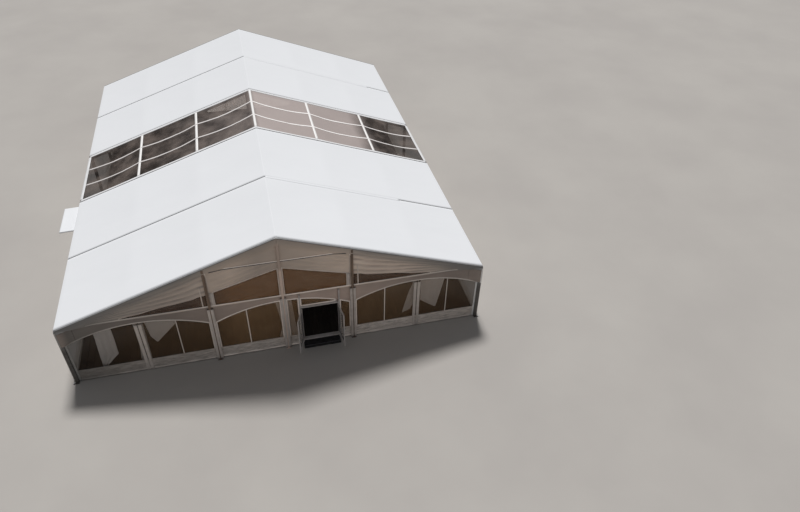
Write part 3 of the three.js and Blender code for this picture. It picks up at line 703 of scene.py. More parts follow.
def make_camera():
    data = bpy.data.cameras.new("camera")
    data.sensor_width = SENSOR
    data.lens = FOCAL_PIXELS / IMAGE_WIDTH * SENSOR
    data.clip_end = 400
    camera = link(bpy.data.objects.new("camera", data))
    forward = CAMERA_FORWARD.normalized()
    right = (CAMERA_RIGHT - forward * CAMERA_RIGHT.dot(forward)).normalized()
    turn = Matrix((right, right.cross(forward), -forward)).transposed().to_4x4()
    camera.matrix_world = Matrix.Translation(CAMERA_PLACE) @ turn
    bpy.context.scene.camera = camera


# Floor and soft light
STAGE_HALF = 300.0
STAGE_DROP = 0.004
SUN_TOWARD = Vector((-0.03, -0.45, -0.89))
SUN_STRENGTH = 2.72
SUN_ANGLE = 12
SKY_STRENGTH = 0.22


def make_stage():
    mesh = bpy.data.meshes.new("studio_floor")
    ends = (-STAGE_HALF, STAGE_HALF)
    mesh.from_pydata([(x, y, -STAGE_DROP) for x, y in rectangle(ends, ends)], [], [(0, 1, 2, 3)])
    mesh.materials.append(finish("studio_floor", (0.48, 0.455, 0.425), (0.45, 0.425, 0.40), 0.15,
                                 rough=(0.8, 0.9)))
    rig.stage(link(bpy.data.objects.new("studio_floor", mesh)))


def make_light():
    sun = bpy.data.lights.new("key_light", "SUN")
    sun.energy = SUN_STRENGTH
    sun.angle = math.radians(SUN_ANGLE)
    sun.color = (1.0, 0.99, 0.98)
    lamp = link(bpy.data.objects.new("key_light", sun))
    lamp.rotation_mode = "QUATERNION"
    lamp.rotation_quaternion = SUN_TOWARD.to_track_quat("-Z", "Y")
    world = bpy.data.worlds.new("soft_sky")
    world.use_nodes = True
    fill(world.node_tree, world.node_tree.nodes["Background"], Color=(0.84, 0.86, 0.90, 1),
         Strength=SKY_STRENGTH)
    scene = bpy.context.scene
    scene.world = world
    scene.view_settings.view_transform = "Standard"
    scene.cycles.transparent_max_bounces = 32


make_camera()
make_stage()
make_light()

# Roof. Its path runs from the ridge down the right slope, round the eave and down the lip.
SKIN_DEPTH = 0.006
EAVE_ROUND = 0.03
SLOPE_STEPS, ROUND_STEPS, LIP_STEPS = 108, 6, 4
SHEET_FINE, SHEET_ROWS = 14, 31
WHITE_SAG = 0.035
CLEAR_SAG = 0.13
JOINT_HALF = 0.02
JOINT_SUNK = 0.0045
RIDGE_FOLD = 0.012
EAVE_CLEAR = 0.02
LIP_WAVE = 0.003
LIP_PITCH = 0.9
UNEVEN = 0.12
BAY_SEED = 11
STRIP_STEP = 0.12
SEAM_LIFT = 1.5 * BAND_LIFT


def roof_path():
    """Distances along the path, its points and outward normals, and the slope's length."""
    down = np.array([math.cos(PITCH), -math.sin(PITCH)])
    out = np.array([math.sin(PITCH), math.cos(PITCH)])
    edge_x = HALF_SPAN - SKIN_DEPTH
    top = np.array([0.0, RIDGE - SKIN_DEPTH / math.cos(PITCH)])
    corner = top + down * edge_x / math.cos(PITCH)
    turn = math.pi / 2 - PITCH
    tangent = EAVE_ROUND * math.tan(turn / 2)
    slope_length = edge_x / math.cos(PITCH) - tangent
    centre = top + down * slope_length - out * EAVE_ROUND
    slope = [top + down * slope_length * step / SLOPE_STEPS for step in range(SLOPE_STEPS + 1)]
    angles = [turn - turn * step / ROUND_STEPS for step in range(1, ROUND_STEPS + 1)]
    arc = [centre + EAVE_ROUND * np.array([math.cos(angle), math.sin(angle)]) for angle in angles]
    lip_top = corner[1] - tangent
    lip = [np.array([edge_x, lip_top + (ROOF_LOW.z - lip_top) * step / LIP_STEPS])
           for step in range(1, LIP_STEPS + 1)]
    points = np.array(slope + arc + lip)
    steps = np.linalg.norm(np.diff(points, axis=0), axis=1)
    distance = np.concatenate([[0], np.cumsum(steps)])
    normal = np.array([-np.gradient(points[:, 1], distance), np.gradient(points[:, 0], distance)]).T
    normal[0] = (0.0, 1.0)
    normal /= np.linalg.norm(normal, axis=1)[:, None]
    return distance, points, normal, slope_length


PATH, PATH_POINTS, PATH_NORMALS, SLOPE_LENGTH = roof_path()
PATH_END = PATH[-1]
CELL = THIRD / math.cos(PITCH)
CELLS = 3


def roof_points(across, y, start, end, sag, lift, seed):
    """Points of one bay's roof sheet. across is the distance from the ridge, negative on the left."""
    away = np.abs(across)
    x, z = (np.interp(away, PATH, values) for values in PATH_POINTS.T)
    out_x, out_z = (np.interp(away, PATH, values) for values in PATH_NORMALS.T)
    along = np.clip((y - start) / (end - start), 0, 1)
    cell = np.where(away < SLOPE_LENGTH, np.clip(away / CELL, 0, CELLS - 0.0001) % 1.0, 0.0)
    bow = 4 * along * (1 - along)
    hang = 4 * cell * (1 - cell)
    uneven = waves(across, y, 2.3, 1.6, seed) * bow * hang
    lip_wave = ease(away, SLOPE_LENGTH, PATH_END) * LIP_WAVE * np.sin(2 * math.pi * y / LIP_PITCH + seed)
    offset = lift - sag * bow * hang + UNEVEN * sag * uneven + lip_wave
    return np.stack([np.sign(across) * (x + out_x * offset), y + 0 * x, z + out_z * offset], -1)


def taut(across, y, lift):
    """Points that follow the roof's shape with no sag."""
    return roof_points(across, y, 0.0, LENGTH, 0.0, lift, 1)


def roof_columns(fine):
    """Places across the roof, fine ones a cell, with one close to the ridge either side."""
    slope_part = np.sort(np.append(np.linspace(0, CELL * CELLS, CELLS * fine + 1), RIDGE_FOLD))
    slope_part = slope_part[slope_part < SLOPE_LENGTH - EAVE_CLEAR]
    half = np.concatenate([slope_part, PATH[PATH >= SLOPE_LENGTH]])
    return np.concatenate([-half[:0:-1], half])


class Bay:
    """One bay of the roof, between two frame lines."""

    def __init__(self, index):
        self.index = index
        self.start = FRONT_EDGE if index == 0 else index * BAY + JOINT_HALF
        self.end = BACK_EDGE if index == BAYS - 1 else (index + 1) * BAY - JOINT_HALF
        self.sag = CLEAR_SAG if index == CLEAR_BAY else WHITE_SAG

    def points(self, across, y, lift=0.0):
        return roof_points(across, y, self.start, self.end, self.sag, lift, BAY_SEED + self.index)

    def strip(self, skin, across_ends, y_ends, lift=BAND_LIFT):
        """A band laid on the sheet, between two distances from the ridge and two places along y."""
        wide = abs(across_ends[1] - across_ends[0])
        deep = abs(y_ends[1] - y_ends[0])
        columns = np.linspace(*across_ends, 2 * int(wide / (2 * STRIP_STEP)) + 3)
        rows = np.linspace(*y_ends, int(deep / STRIP_STEP) + 2)
        across, y = np.meshgrid(columns, rows)
        skin.grid(self.points(across, y, lift))


# Flaps over joints, by bay: the joint's frame line and the x of the flap's lower end
FLAPS = {0: (1, 6.3), 3: (4, 7.7)}
FLAP_HALF = 0.085
FLAP_LIFT = 0.0025
# The roof's folded edges, by bay: the piece's name, its y and its way outward
END_FOLDS = {0: ("roof_edge_front", FRONT_EDGE, -1), 4: ("roof_edge_back", BACK_EDGE, 1)}
FOLD_DEPTH = 0.0055


def make_roof():
    columns = roof_columns(SHEET_FINE)
    flat = (BAY - 2 * JOINT_HALF, 2 * PATH_END)
    for index in range(BAYS):
        bay = Bay(index)
        across, y = np.meshgrid(columns, np.linspace(bay.start, bay.end, SHEET_ROWS))
        skin = Skin().grid(bay.points(across, y))
        if index == CLEAR_BAY:
            stretch = "clear"
            sheet = skin.sheet("clear_roof_sheet", ROOF_FILM, "clear_film", FILM_THICK)
            trims = clear_roof_bands(bay)
        else:
            stretch = "front" if index < CLEAR_BAY else "back"
            sheet = skin.sheet(f"roof_sheet_{index + 1}", ROOF_WHITE)
            trims = [joint_flap(*FLAPS[index])] if index in FLAPS else []
            trims += [end_fold(*END_FOLDS[index])] if index in END_FOLDS else []
        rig.replaces(sheet, f"roof_{stretch}_left", f"roof_{stretch}_right")
        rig.sheet(sheet, flat=flat, held="stretched",
                 rests_on=[f"portal_frame_{index + 1}", f"portal_frame_{index + 2}"], with_pieces=trims)


def end_fold(name, edge, outward):
    """The folded edge of the cloth at a gable."""
    fine, rows, out, top = 8, 3, 0.002, 0.001
    across = roof_columns(fine)
    y = np.full(across.shape, edge + outward * out)
    rows = [taut(across, y, lift) for lift in np.linspace(top, -FOLD_DEPTH, rows)]
    return Skin().grid(np.array(rows)).sheet(name, LIP_WHITE, thick=FOLD_THICK)


def joint_flap(line, end):
    """The flap of cloth that covers a joint on the right slope, from the ridge down to x = end. It lies
    on the sheets of both bays."""
    columns, rows, start = 60, 5, 0.02
    middle = line * BAY
    across, y = np.meshgrid(np.linspace(start, end / math.cos(PITCH), columns),
                            np.linspace(middle - FLAP_HALF, middle + FLAP_HALF, rows))
    near, far = (Bay(index).points(across, y, FLAP_LIFT) for index in (line - 1, line))
    skin = Skin().grid(np.where((y < middle)[..., None], near, far))
    return skin.sheet(f"roof_joint_flap_{line}", ROOF_WHITE)


def clear_roof_bands(bay):
    """White borders, the bands over the purlins and the two thin seams of the clear bay."""
    edge, purlin_half, eave_band, seam_half = 0.17, 0.070, 0.13, 0.055
    borders, bands, seams = Skin(), Skin(), Skin()
    for y_ends in ((bay.start, bay.start + edge), (bay.end - edge, bay.end)):
        bay.strip(borders, (-PATH_END, PATH_END), y_ends)
    inner = (bay.start + edge, bay.end - edge)
    seam_end = SLOPE_LENGTH - eave_band
    for side, _ in SIDES:
        bay.strip(borders, (side * seam_end, side * PATH_END), inner)
    for line in (-2, -1, 0, 1, 2):
        bay.strip(bands, (line * CELL - purlin_half, line * CELL + purlin_half), inner)
    for share in (1 / 3, 2 / 3):
        middle = bay.start + (bay.end - bay.start) * share
        bay.strip(seams, (-seam_end, seam_end), (middle - seam_half, middle + seam_half), SEAM_LIFT)
    return [
        borders.sheet("clear_roof_borders", LIP_WHITE),
        bands.sheet("clear_roof_purlin_bands", FILM_BAND),
        seams.sheet("clear_roof_seams", SEAM_BAND),
    ]


def make_roof_joints():
    """Dark keder joints on the inner frame lines."""
    columns, rows, lap = 81, 3, 0.004
    half = JOINT_HALF + lap
    for line in range(1, BAYS):
        across, y = np.meshgrid(np.linspace(-SLOPE_LENGTH, SLOPE_LENGTH, columns),
                                np.linspace(line * BAY - half, line * BAY + half, rows))
        Skin().grid(taut(across, y, -JOINT_SUNK)).sheet(f"roof_joint_{line}", RUBBER, "black_mat")


make_roof()
make_roof_joints()


# Walls
@dataclass
class Wall:
    """A wall's plane. a runs along it and z up, and relief is how far its cloth bellies outwards."""

    axis: str
    level: float
    outward: int
    relief: Callable
    prefix: str = ""
    film: str = ""

    def flat(self, a, z, out):
        """Points at a set distance in front of the wall's own plane."""
        level = self.level + self.outward * out
        order = (a, level, z) if self.axis == "y" else (level, a, z)
        return np.stack(np.broadcast_arrays(*order), -1)

    def points(self, a, z, lift=0.0):
        """Points of the wall's cloth, or of something that lies on it."""
        return self.flat(a, z, self.relief(a, z) + lift)


def underside(a):
    """The underside of the end frames' rafters."""
    return PANEL_HIGH.z - SLOPE * np.abs(a)


def wall_top(a):
    return np.minimum(LOWER_TOP, underside(a))


def gable_top(a):
    """The gable cloth's upper edge, just under the top of the end frames' rafters."""
    return RAFTER_TOP - RAFTER_BARE - SLOPE * np.abs(a)


def clear_of(a, lines, half, fade):
    """1 away from the posts on these lines, and 0 within half of one."""
    share = 1.0
    for line in lines:
        share = share * ease(np.abs(a - line), half, half + fade)
    return share


def skirt(a, z, seed):
    """Long flat wrinkles in the border under the windows."""
    below = ease(-z, -SKIRT_TOP, -SKIRT_FULL)
    return SKIRT_DEPTH * below * upward(waves(a, z, 1.5, 0.26, seed, parts=3))


def lower_relief(a, z, seed=21):
    posts = (*UPRIGHTS, DOOR_LEFT, DOOR_RIGHT, -WALL_END, WALL_END)
    slack = LOWER_SLACK * upward(waves(a, z, 1.7, 1.1, seed + 1))
    return clear_of(a, posts, half=0.09, fade=0.25) * (skirt(a, z, seed) + slack)


def gable_relief(a, z):
    """Pleats that fan out from each eave corner, flatter ones between the uprights, and the cloth's way
    out over the front of the rafters."""
    wander, bar_fade, transom_fade, edge_fade, lean_rise = 0.3, 0.1, 0.2, 0.25, 0.35
    inward = HALF_SPAN + PLEAT_INSET - np.abs(a)
    away = np.hypot(inward, z - EAVE)
    angle = np.arctan2(z - EAVE, inward)
    drift = PLEAT_DRIFT * np.sin(2 * math.pi * inward / PLEAT_WANDER)
    fan = upward(np.sin(2 * math.pi * (angle / PLEAT_ANGLE + drift)))
    outer = FAN_GROWTH * np.clip(away - FAN_START, 0, FAN_REACH) * fan * (np.abs(a) > THIRD)
    tilt = z + SWAG_SLOPE * np.abs(a)
    rows = upward(np.sin(2 * math.pi * (tilt / ROW_RISE + wander * waves(a, tilt, 3.1, 1.1, 33))))
    inner = ROW_DEPTH * rows * (np.abs(a) <= THIRD) * ease(BAR_HEIGHT - z, 0.0, bar_fade)
    over_transom = ease(z, TRANSOM_LINE, TRANSOM_LINE + transom_fade)
    under_edge = ease(gable_top(a) - z, 0.0, edge_fade)
    lean = RAFTER_COVER * ease(z, underside(a) - lean_rise, underside(a))
    held = (*UPRIGHTS, -SLEEVE_LINE, SLEEVE_LINE)
    pleats = clear_of(a, held, half=0.075, fade=0.3) * over_transom * under_edge * (outer + inner)
    return pleats + lean


def side_relief(a, z, seed):
    """Upright folds that fade towards the frames, over a slacker foot."""
    lines = [line * BAY for line in range(BAYS + 1)]
    slack = SIDE_SLACK * upward(waves(a, z, 1.9, 1.3, seed + 1))
    folds = SIDE_FOLDS * upward(waves(a, z, 0.62, 9.0, seed + 2, parts=3))
    below_lip = ease(-z, -LIP_CLEAR, LIP_FADE - LIP_CLEAR)
    return clear_of(a, lines, half=0.1, fade=0.4) * below_lip * (skirt(a, z, seed) + slack + folds)


front_lower = Wall("y", FRONT_PLANE, -1, lower_relief, "front", "front_film")
front_gable = Wall("y", FRONT_PLANE, -1, gable_relief, "front", "front_gable_film")
back_lower = Wall("y", BACK_PLANE, 1, lambda a, z: lower_relief(a, z, 41), "back", "back_film")
back_gable = Wall("y", BACK_PLANE, 1, gable_relief, "back", "back_film")


def arch(middle):
    """Height of a window's arched head over a span about its middle."""
    rise = ARCH_CROWN - ARCH_SPRING
    radius = (ARCH_HALF * ARCH_HALF + rise * rise) / (2 * rise)

    def height(a):
        return ARCH_CROWN - radius + np.sqrt(np.clip(radius * radius - (a - middle) ** 2, 0, None))
    return height


CENTRE_ARCH, LEFT_ARCH, RIGHT_ARCH = arch(0.0), arch(-MID_LINE), arch(MID_LINE)


def straight(start, end):
    """Height of a window's upper edge that runs from one (x, z) point to another, on both sides."""
    def height(a):
        share = np.clip((np.abs(a) - start[0]) / (end[0] - start[0]), 0, 1)
        return start[1] + (end[1] - start[1]) * share
    return height


def sampled(points, step=0.12):
    """The same corners with points between them at most a step apart."""
    found = [points[0]]
    for start, end in zip(points, points[1:]):
        start, end = np.array(start, float), np.array(end, float)
        count = max(1, int(np.ceil(np.linalg.norm(end - start) / step)))
        found.extend(tuple(start + (end - start) * part / count) for part in range(1, count + 1))
    return found


def spaced(ends, step):
    low, high = ends
    return np.linspace(low, high, max(2, int(np.ceil((high - low) / step)) + 1))


def band(skin, wall, path, width, lift=BAND_LIFT, side=0.0):
    """A strip of even width along a path of (a, z) points. side shifts it to the path's left, in widths."""
    path = np.array(path, float)
    closed = np.allclose(path[0], path[-1])
    steps = np.diff(path, axis=0)
    steps /= np.linalg.norm(steps, axis=1)[:, None]
    before = np.vstack([steps[-1] if closed else steps[0], steps])
    after = np.vstack([steps, steps[0] if closed else steps[-1]])
    normal = np.stack([-(before + after)[:, 1], (before + after)[:, 0]], -1)
    normal /= np.linalg.norm(normal, axis=1)[:, None]
    flat_normal = np.stack([-before[:, 1], before[:, 0]], -1)
    stretch = 1 / np.clip((normal * flat_normal).sum(1), 0.5, 1)
    rows = []
    for offset in np.linspace(side - 0.5, side + 0.5, 3):
        line = path + normal * (stretch * offset * width)[:, None]
        rows.append(wall.points(line[:, 0], line[:, 1], lift))
    return skin.grid(np.array(rows))


def upright_bands(skin, wall, bands):
    """Bands that run straight up a wall, over its other ones. Each is (x, low, high, width)."""
    for x, low, high, width in bands:
        band(skin, wall, sampled([(x, low), (x, high)]), width, OVER_LIFT)
    return skin


@dataclass
class Panel:
    """One panel of cloth in a wall with a clear window in it, and the light bands round the window. The
    panel's top and the window's top are functions of the place along the wall."""

    name: str
    wall: Wall
    ends: Sequence
    window: Sequence
    window_top: Callable
    rests_on: list
    foot: float = WALL_FOOT
    top: Callable = wall_top
    window_foot: float = WINDOW_FOOT
    rise: float = 0.05

    def layout(self):
        """The grid's places along the wall, its heights, and which of its cells are the window."""
        spans = ((self.ends[0], self.window[0]), self.window, (self.window[1], self.ends[1]))
        columns = np.unique(np.concatenate([spaced(span, PANEL_STEP) for span in spans]).round(6))
        held = np.clip(columns, *self.window)
        top = self.top(columns)
        window = (self.window_foot, self.window_top(held))
        levels = [np.minimum(line, top) for line in (self.foot, *window, top)]
        rows = [levels[0]]
        in_window_band = []
        for part, (low, high) in enumerate(zip(levels, levels[1:])):
            spacing = PANEL_STEP if part == 1 else self.rise
            count = max(2, int(np.ceil((high - low).max() / spacing)))
            for row in range(1, count + 1):
                rows.append(low + (high - low) * row / count)
                in_window_band.append(part == 1)
        z = np.array(rows)
        middles = (columns[1:] + columns[:-1]) / 2
        in_window = (middles > self.window[0]) & (middles < self.window[1])
        clear = np.array(in_window_band)[:, None] & in_window[None, :]
        return np.broadcast_to(columns, z.shape), z, clear

    def area(self, a, z, cells):
        tall = (z[1:, 1:] - z[:-1, 1:] + z[1:, :-1] - z[:-1, :-1]) / 2
        return float(((a[1:, 1:] - a[1:, :-1]) * tall * cells).sum())

    def window_path(self, foot_too):
        """The window's edge, up one side, over its head and down the other, and its foot if foot_too."""
        span = spaced(self.window, PANEL_STEP)
        head = list(zip(span, self.window_top(span)))[::-1]
        foot = [(x, self.window_foot) for x in span]
        sides = sampled([foot[-1], head[0]])[:-1] + head + sampled([head[-1], foot[0]])[1:]
        path = foot[:-1] + sides if foot_too else sides
        kept = [path[0]]
        for point in path[1:]:
            if math.dist(point, kept[-1]) > 1e-3:
                kept.append(point)
        return kept

    def make(self, cloth_node, bands=(), wide_bands=(), window_band=0.06, hem=True, held="hung",
             finishes=(WALL_CLOTH, WALL_FILM, BAND_WHITE), trims=()):
        """finishes are the cloth's, the window's and the bands'. trims are bands already made for it."""
        a, z, clear = self.layout()
        points = self.wall.points(a, z)
        cloth = Skin().grid(points, ~clear).sheet(self.name, finishes[0])
        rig.replaces(cloth, cloth_node)
        glazing = Skin().grid(points, clear)
        film = glazing.sheet(f"{self.name}_window", finishes[1], "clear_film", FILM_THICK)
        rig.replaces(film, self.wall.film)
        edging = band(Skin(), self.wall, self.window_path(not hem), window_band, side=-0.5)
        upright_bands(edging, self.wall, bands)
        if hem:
            path = [(x, self.foot + HEM_RISE) for x in spaced(self.ends, PANEL_STEP)]
            band(edging, self.wall, path, HEM_WIDTH)
        trims = [edging.sheet(f"{self.name}_bands", finishes[2]), *trims]
        if wide_bands:
            wide = upright_bands(Skin(), self.wall, wide_bands)
            trims.append(wide.sheet(f"{self.name}_wide_bands", POST_BAND))
        size = (self.ends[1] - self.ends[0], float(z.max() - z.min()))
        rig.sheet(cloth, flat=size, held=held, rests_on=self.rests_on, area=self.area(a, z, ~clear),
                 with_pieces=trims)
        glazed_rows = clear.any(1)
        tall = float(z[1:][glazed_rows].max() - z[:-1][glazed_rows].min())
        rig.sheet(film, flat=(self.window[1] - self.window[0], tall), held=held, rests_on=[self.name],
                 area=self.area(a, z, clear))


def seam_at(x, head):
    """A seam up a window, from its foot to its head."""
    return (x, WINDOW_FOOT, float(head(x)), SEAM)


def corner_panel(wall, side, cloth_node, frame_name, outer_seam=True):
    """The lower wall from a corner to the nearest upright, with two light bands up its middle."""
    name, head = ("left", LEFT_ARCH) if side < 0 else ("right", RIGHT_ARCH)
    window = sorted((side * CORNER_WINDOW_END, side * (THIRD + WINDOW_EDGE)))
    lines = (INNER_SEAM, OUTER_SEAM) if outer_seam else (INNER_SEAM,)
    shift = (MID_BAND + MID_GAP) / 2
    wide = [(side * MID_LINE + step, WALL_FOOT, MID_BAND_TOP, MID_BAND) for step in (-shift, shift)]
    Panel(f"{wall.prefix}_corner_panel_{name}", wall, sorted((side * THIRD, side * WALL_END)), window, head,
          [frame_name, f"{wall.prefix}_upright_{name}"]).make(
              cloth_node, [seam_at(side * line, head) for line in lines], wide)


def centre_panel(name, wall, side, cloth_node, posts):
    """The lower wall between the centre upright and the next one."""
    window = sorted((side * WINDOW_EDGE, side * (THIRD - WINDOW_EDGE)))
    Panel(name, wall, sorted((0.0, side * THIRD)), window, CENTRE_ARCH,
          [f"{wall.prefix}_upright_{post}" for post in posts]).make(
              cloth_node, [seam_at(side * CENTRE_SEAM, CENTRE_ARCH)])


def make_front_lower():
    wall, edge, jamb, beside, over = front_lower, WINDOW_EDGE, 0.02, 0.09, 0.05
    left_end, right_end = DOOR_LEFT - jamb, DOOR_RIGHT + jamb
    corner_panel(wall, -1, "front_wall_left", "portal_frame_1", outer_seam=False)
    corner_panel(wall, 1, "front_wall_right", "portal_frame_1")
    centre_panel("front_centre_panel", wall, -1, "front_wall_left", ("left", "centre"))
    Panel("front_panel_left_of_door", wall, (0.0, left_end), (edge, left_end - beside), CENTRE_ARCH,
          ["front_upright_centre", "door_frame"]).make("front_wall_left")
    Panel("front_panel_right_of_door", wall, (right_end, THIRD), (right_end + beside, THIRD - edge),
          CENTRE_ARCH, ["door_frame", "front_upright_right"]).make("front_wall_right")
    Panel("front_panel_over_door", wall, (left_end, right_end), (DOOR_LEFT + over, DOOR_RIGHT - over),
          CENTRE_ARCH, ["door_frame"], foot=OVER_DOOR, window_foot=OVER_DOOR + 2 * over).make(
              "front_wall_over_door", hem=False)


def make_back_lower():
    for side, name in SIDES:
        corner_panel(back_lower, side, "back_wall", "portal_frame_6")
        centre_panel(f"back_centre_panel_{name}", back_lower, side, "back_wall", ("centre", name))


def make_gable(wall, cloth_node):
    """The four cloth panels between the transom and the rafters, with their clear windows."""
    prefix = wall.prefix
    drop, beside, tip_rise, transom_width = 0.02, 0.10, 0.03, 0.06
    tie_width, border_width, sleeve_width, edge_width = 0.035, 0.16, 0.05, 0.03
    ends = [(-TRANSOM_REACH, TRANSOM_LINE - drop), (TRANSOM_REACH, TRANSOM_LINE - drop)]
    transom = band(Skin(), wall, sampled(ends), transom_width, TOP_LIFT)
    transom_band = transom.sheet(f"{prefix}_transom_band", BAND_WHITE)
    centre_head = straight((GABLE_INNER, GABLE_INNER_TOP), (GABLE_OUTER, GABLE_OUTER_TOP))
    outer_head = straight((GABLE_SIDE, GABLE_SIDE_TOP), (GABLE_TIP, TRANSOM_LINE + tip_rise))
    border, tie = GABLE_OUTER + beside, THIRD - beside
    shape = dict(foot=LOWER_TOP, top=gable_top, window_foot=TRANSOM_LINE, rise=0.035)
    for side, name in SIDES:
        upright = [f"{prefix}_upright_{name}"]
        Panel(f"{prefix}_gable_centre_{name}", wall, sorted((0.0, side * THIRD)),
              sorted((side * GABLE_INNER, side * GABLE_OUTER)), centre_head, upright, **shape).make(
                  cloth_node, [(side * tie, TRANSOM_LINE, underside(THIRD), tie_width)],
                  [(side * border, TRANSOM_LINE, GABLE_OUTER_TOP, border_width)], hem=False,
                  held="stretched", finishes=(GABLE_CLOTH, GABLE_FILM, GABLE_BAND),
                  trims=[transom_band] if side < 0 else [])
        Panel(f"{prefix}_gable_outer_{name}", wall, sorted((side * THIRD, side * GABLE_END)),
              sorted((side * GABLE_SIDE, side * GABLE_TIP)), outer_head, upright, **shape).make(
                  cloth_node, [(side * SLEEVE_LINE, TRANSOM_LINE, SLEEVE_TOP, sleeve_width)],
                  window_band=edge_width, hem=False, held="stretched",
                  finishes=(PLEATED_CLOTH, GABLE_FILM, GABLE_BAND))
    make_gable_rail(wall)


def make_gable_rail(wall):
    """The rail across the top of the gable, between the rafters, and a dark strip laid on the cloth under it:
    painted shadow of the rail.
    """
    post_half, rise, front, back = 0.055, 0.045, 0.030, 0.012
    rail_shadow_width, rail_shadow_drop = 0.035, 0.022
    end = (PANEL_HIGH.z - BAR_HEIGHT - rise) / SLOPE
    depth = sorted((wall.level + wall.outward * front, wall.level + wall.outward * back))
    height = BAR_HEIGHT - rail_shadow_drop
    rail, rail_shadow = Skin(), Skin()
    for low, high in ((-end, -post_half), (post_half, end)):
        rail.box((low, high), depth, (BAR_HEIGHT, BAR_HEIGHT + rise))
        band(rail_shadow, wall, sampled([(low, height), (high, height)]), rail_shadow_width, TOP_LIFT)
    rail.piece(f"{wall.prefix}_gable_rail", BAND_WHITE, bevel=0.006)
    rail_shadow.sheet(f"{wall.prefix}_gable_rail_shadow_gap", RUBBER, "black_mat")


# Light welts of cloth over the uprights' edges and at the corners
WELT_WIDTH = 0.11
WELT_GAP = 0.018
CORNER_WELT = 0.085
LEG_WELT = 0.06
WELT_OUT = FRONT_PLANE + FRAME_HALF + 0.006
WELT_TOP = 3.06
LEG_OUT = WELT_OUT + 0.004
CORNER_OUT = 0.03
CORNER_TOP = ARCH_SPRING + 0.15
COVER_REACH = 0.5
COVER_RISE = 0.07


def welt(skin, wall, near, far, low, high, out=WELT_OUT):
    """A strip in front of a post, from near to far along the wall, turned back to the wall at far.
    It returns the strip's flat width and height."""
    near_round, near_drop, far_round, seat = 0.008, 0.005, 0.012, 0.006
    rows, ripple_depth = 25, 0.002
    side = 1 if far > near else -1
    profile = [(near, out - near_drop), (near + side * near_round, out), (far - side * far_round, out),
               (far, out - far_round), (far + side * seat, out / 2), (far + side * seat, seat)]
    z = np.linspace(low, high, rows)[:, None]
    a, depth = np.array(profile).T[:, None, :] + 0 * z
    ripple = ripple_depth * waves(z, a, 0.7, 0.4, 51)
    skin.grid(wall.flat(a, z, depth - np.abs(ripple)))
    return sum(math.dist(start, end) for start, end in zip(profile, profile[1:])), high - low


def declare_strips(piece, sizes, rests_on):
    """Strips of one height or several, declared as cut side by side from one length of cloth."""
    width = sum(size[0] for size in sizes)
    height = max(size[1] for size in sizes)
    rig.sheet(piece, flat=(width, height), held="stretched", rests_on=rests_on,
             area=sum(size[0] * size[1] for size in sizes))


def make_welts(wall, frame_name):
    foot_gap, corner_lap = 0.01, 0.002
    foot = WALL_FOOT + foot_gap
    prefix = wall.prefix
    posts = Skin()
    starts = [(line + side * WELT_GAP, side) for line in UPRIGHTS for side, _ in SIDES]
    sizes = [welt(posts, wall, near, near + side * WELT_WIDTH, foot, WELT_TOP) for near, side in starts]
    piece = posts.sheet(f"{prefix}_upright_welts", POST_BAND)
    declare_strips(piece, sizes, [f"{prefix}_upright_{name}" for name in ("left", "centre", "right")])
    corners = Skin()
    sizes = []
    for side, _ in SIDES:
        inner, leg = side * (WALL_END + corner_lap), side * LEG_EDGE
        sizes.append(welt(corners, wall, inner, inner - side * CORNER_WELT, foot, CORNER_TOP, CORNER_OUT))
        sizes.append(welt(corners, wall, leg - side * LEG_WELT, leg, ARCH_SPRING, WELT_TOP, LEG_OUT))
    declare_strips(corners.sheet(f"{prefix}_corner_welts", CORNER_WHITE), sizes, [frame_name])
    make_corner_covers(wall, frame_name)


def make_corner_covers(wall, frame_name):
    """The wall's cloth carried on over the front of the corner legs, above the windows' springing."""
    rows, columns, inner_out, under_welt, top_gap = 13, 17, 0.009, 0.0035, 0.004
    cover_out = WELT_OUT - under_welt
    skin = Skin()
    sizes = []
    share = np.linspace(0, 1, rows)[:, None]
    a = np.linspace(WALL_END - COVER_REACH, LEG_EDGE, columns)[None, :] + 0 * share
    out = inner_out + (cover_out - inner_out) * ease(a, WALL_END - COVER_REACH, WALL_END)
    low = RIGHT_ARCH(np.minimum(a, MID_LINE + ARCH_HALF)) + COVER_RISE
    z = low + (underside(a) - top_gap - low) * share
    for side, _ in SIDES:
        points = wall.flat(side * a, z, out)
        skin.grid(points)
        sizes.append((longest(points, 1), longest(points, 0)))
    declare_strips(skin.sheet(f"{wall.prefix}_corner_covers", WALL_CLOTH), sizes, [frame_name])


def plain_panel(name, wall, ends, cloth_node, rests_on):
    """One plain panel of a side wall, with a hem at its foot and a band down each end."""
    step, rise, end_inset, end_width, end_gap = 0.09, 0.06, 0.055, 0.09, 0.02
    a, z = np.meshgrid(spaced(ends, step), spaced((WALL_FOOT, SIDE_TOP), rise))
    piece = Skin().grid(wall.points(a, z)).sheet(name, SIDE_CLOTH)
    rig.replaces(piece, cloth_node)
    hem = WALL_FOOT + HEM_RISE
    edging = band(Skin(), wall, sampled([(ends[0], hem), (ends[1], hem)]), HEM_WIDTH)
    upright_bands(edging, wall, [(place, WALL_FOOT, SIDE_TOP - end_gap, end_width)
                                 for place in (ends[0] + end_inset, ends[1] - end_inset)])
    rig.sheet(piece, flat=(ends[1] - ends[0], SIDE_TOP - WALL_FOOT), held="hung", rests_on=rests_on,
             with_pieces=[edging.sheet(f"{name}_bands", BAND_WHITE)])


def make_sides():
    gap = 0.006
    for side, name in SIDES:
        wall = Wall("x", side * SIDE_PLANE, side, lambda a, z, seed=61 + side: side_relief(a, z, seed))
        for index in range(BAYS):
            low = index * BAY + gap if index else SIDE_LOW.y
            high = (index + 1) * BAY - gap if index < BAYS - 1 else SIDE_HIGH.y
            plain_panel(f"side_panel_{name}_{index + 1}", wall, (low, high), f"side_wall_{name}",
                        [f"eave_purlin_{name}"])


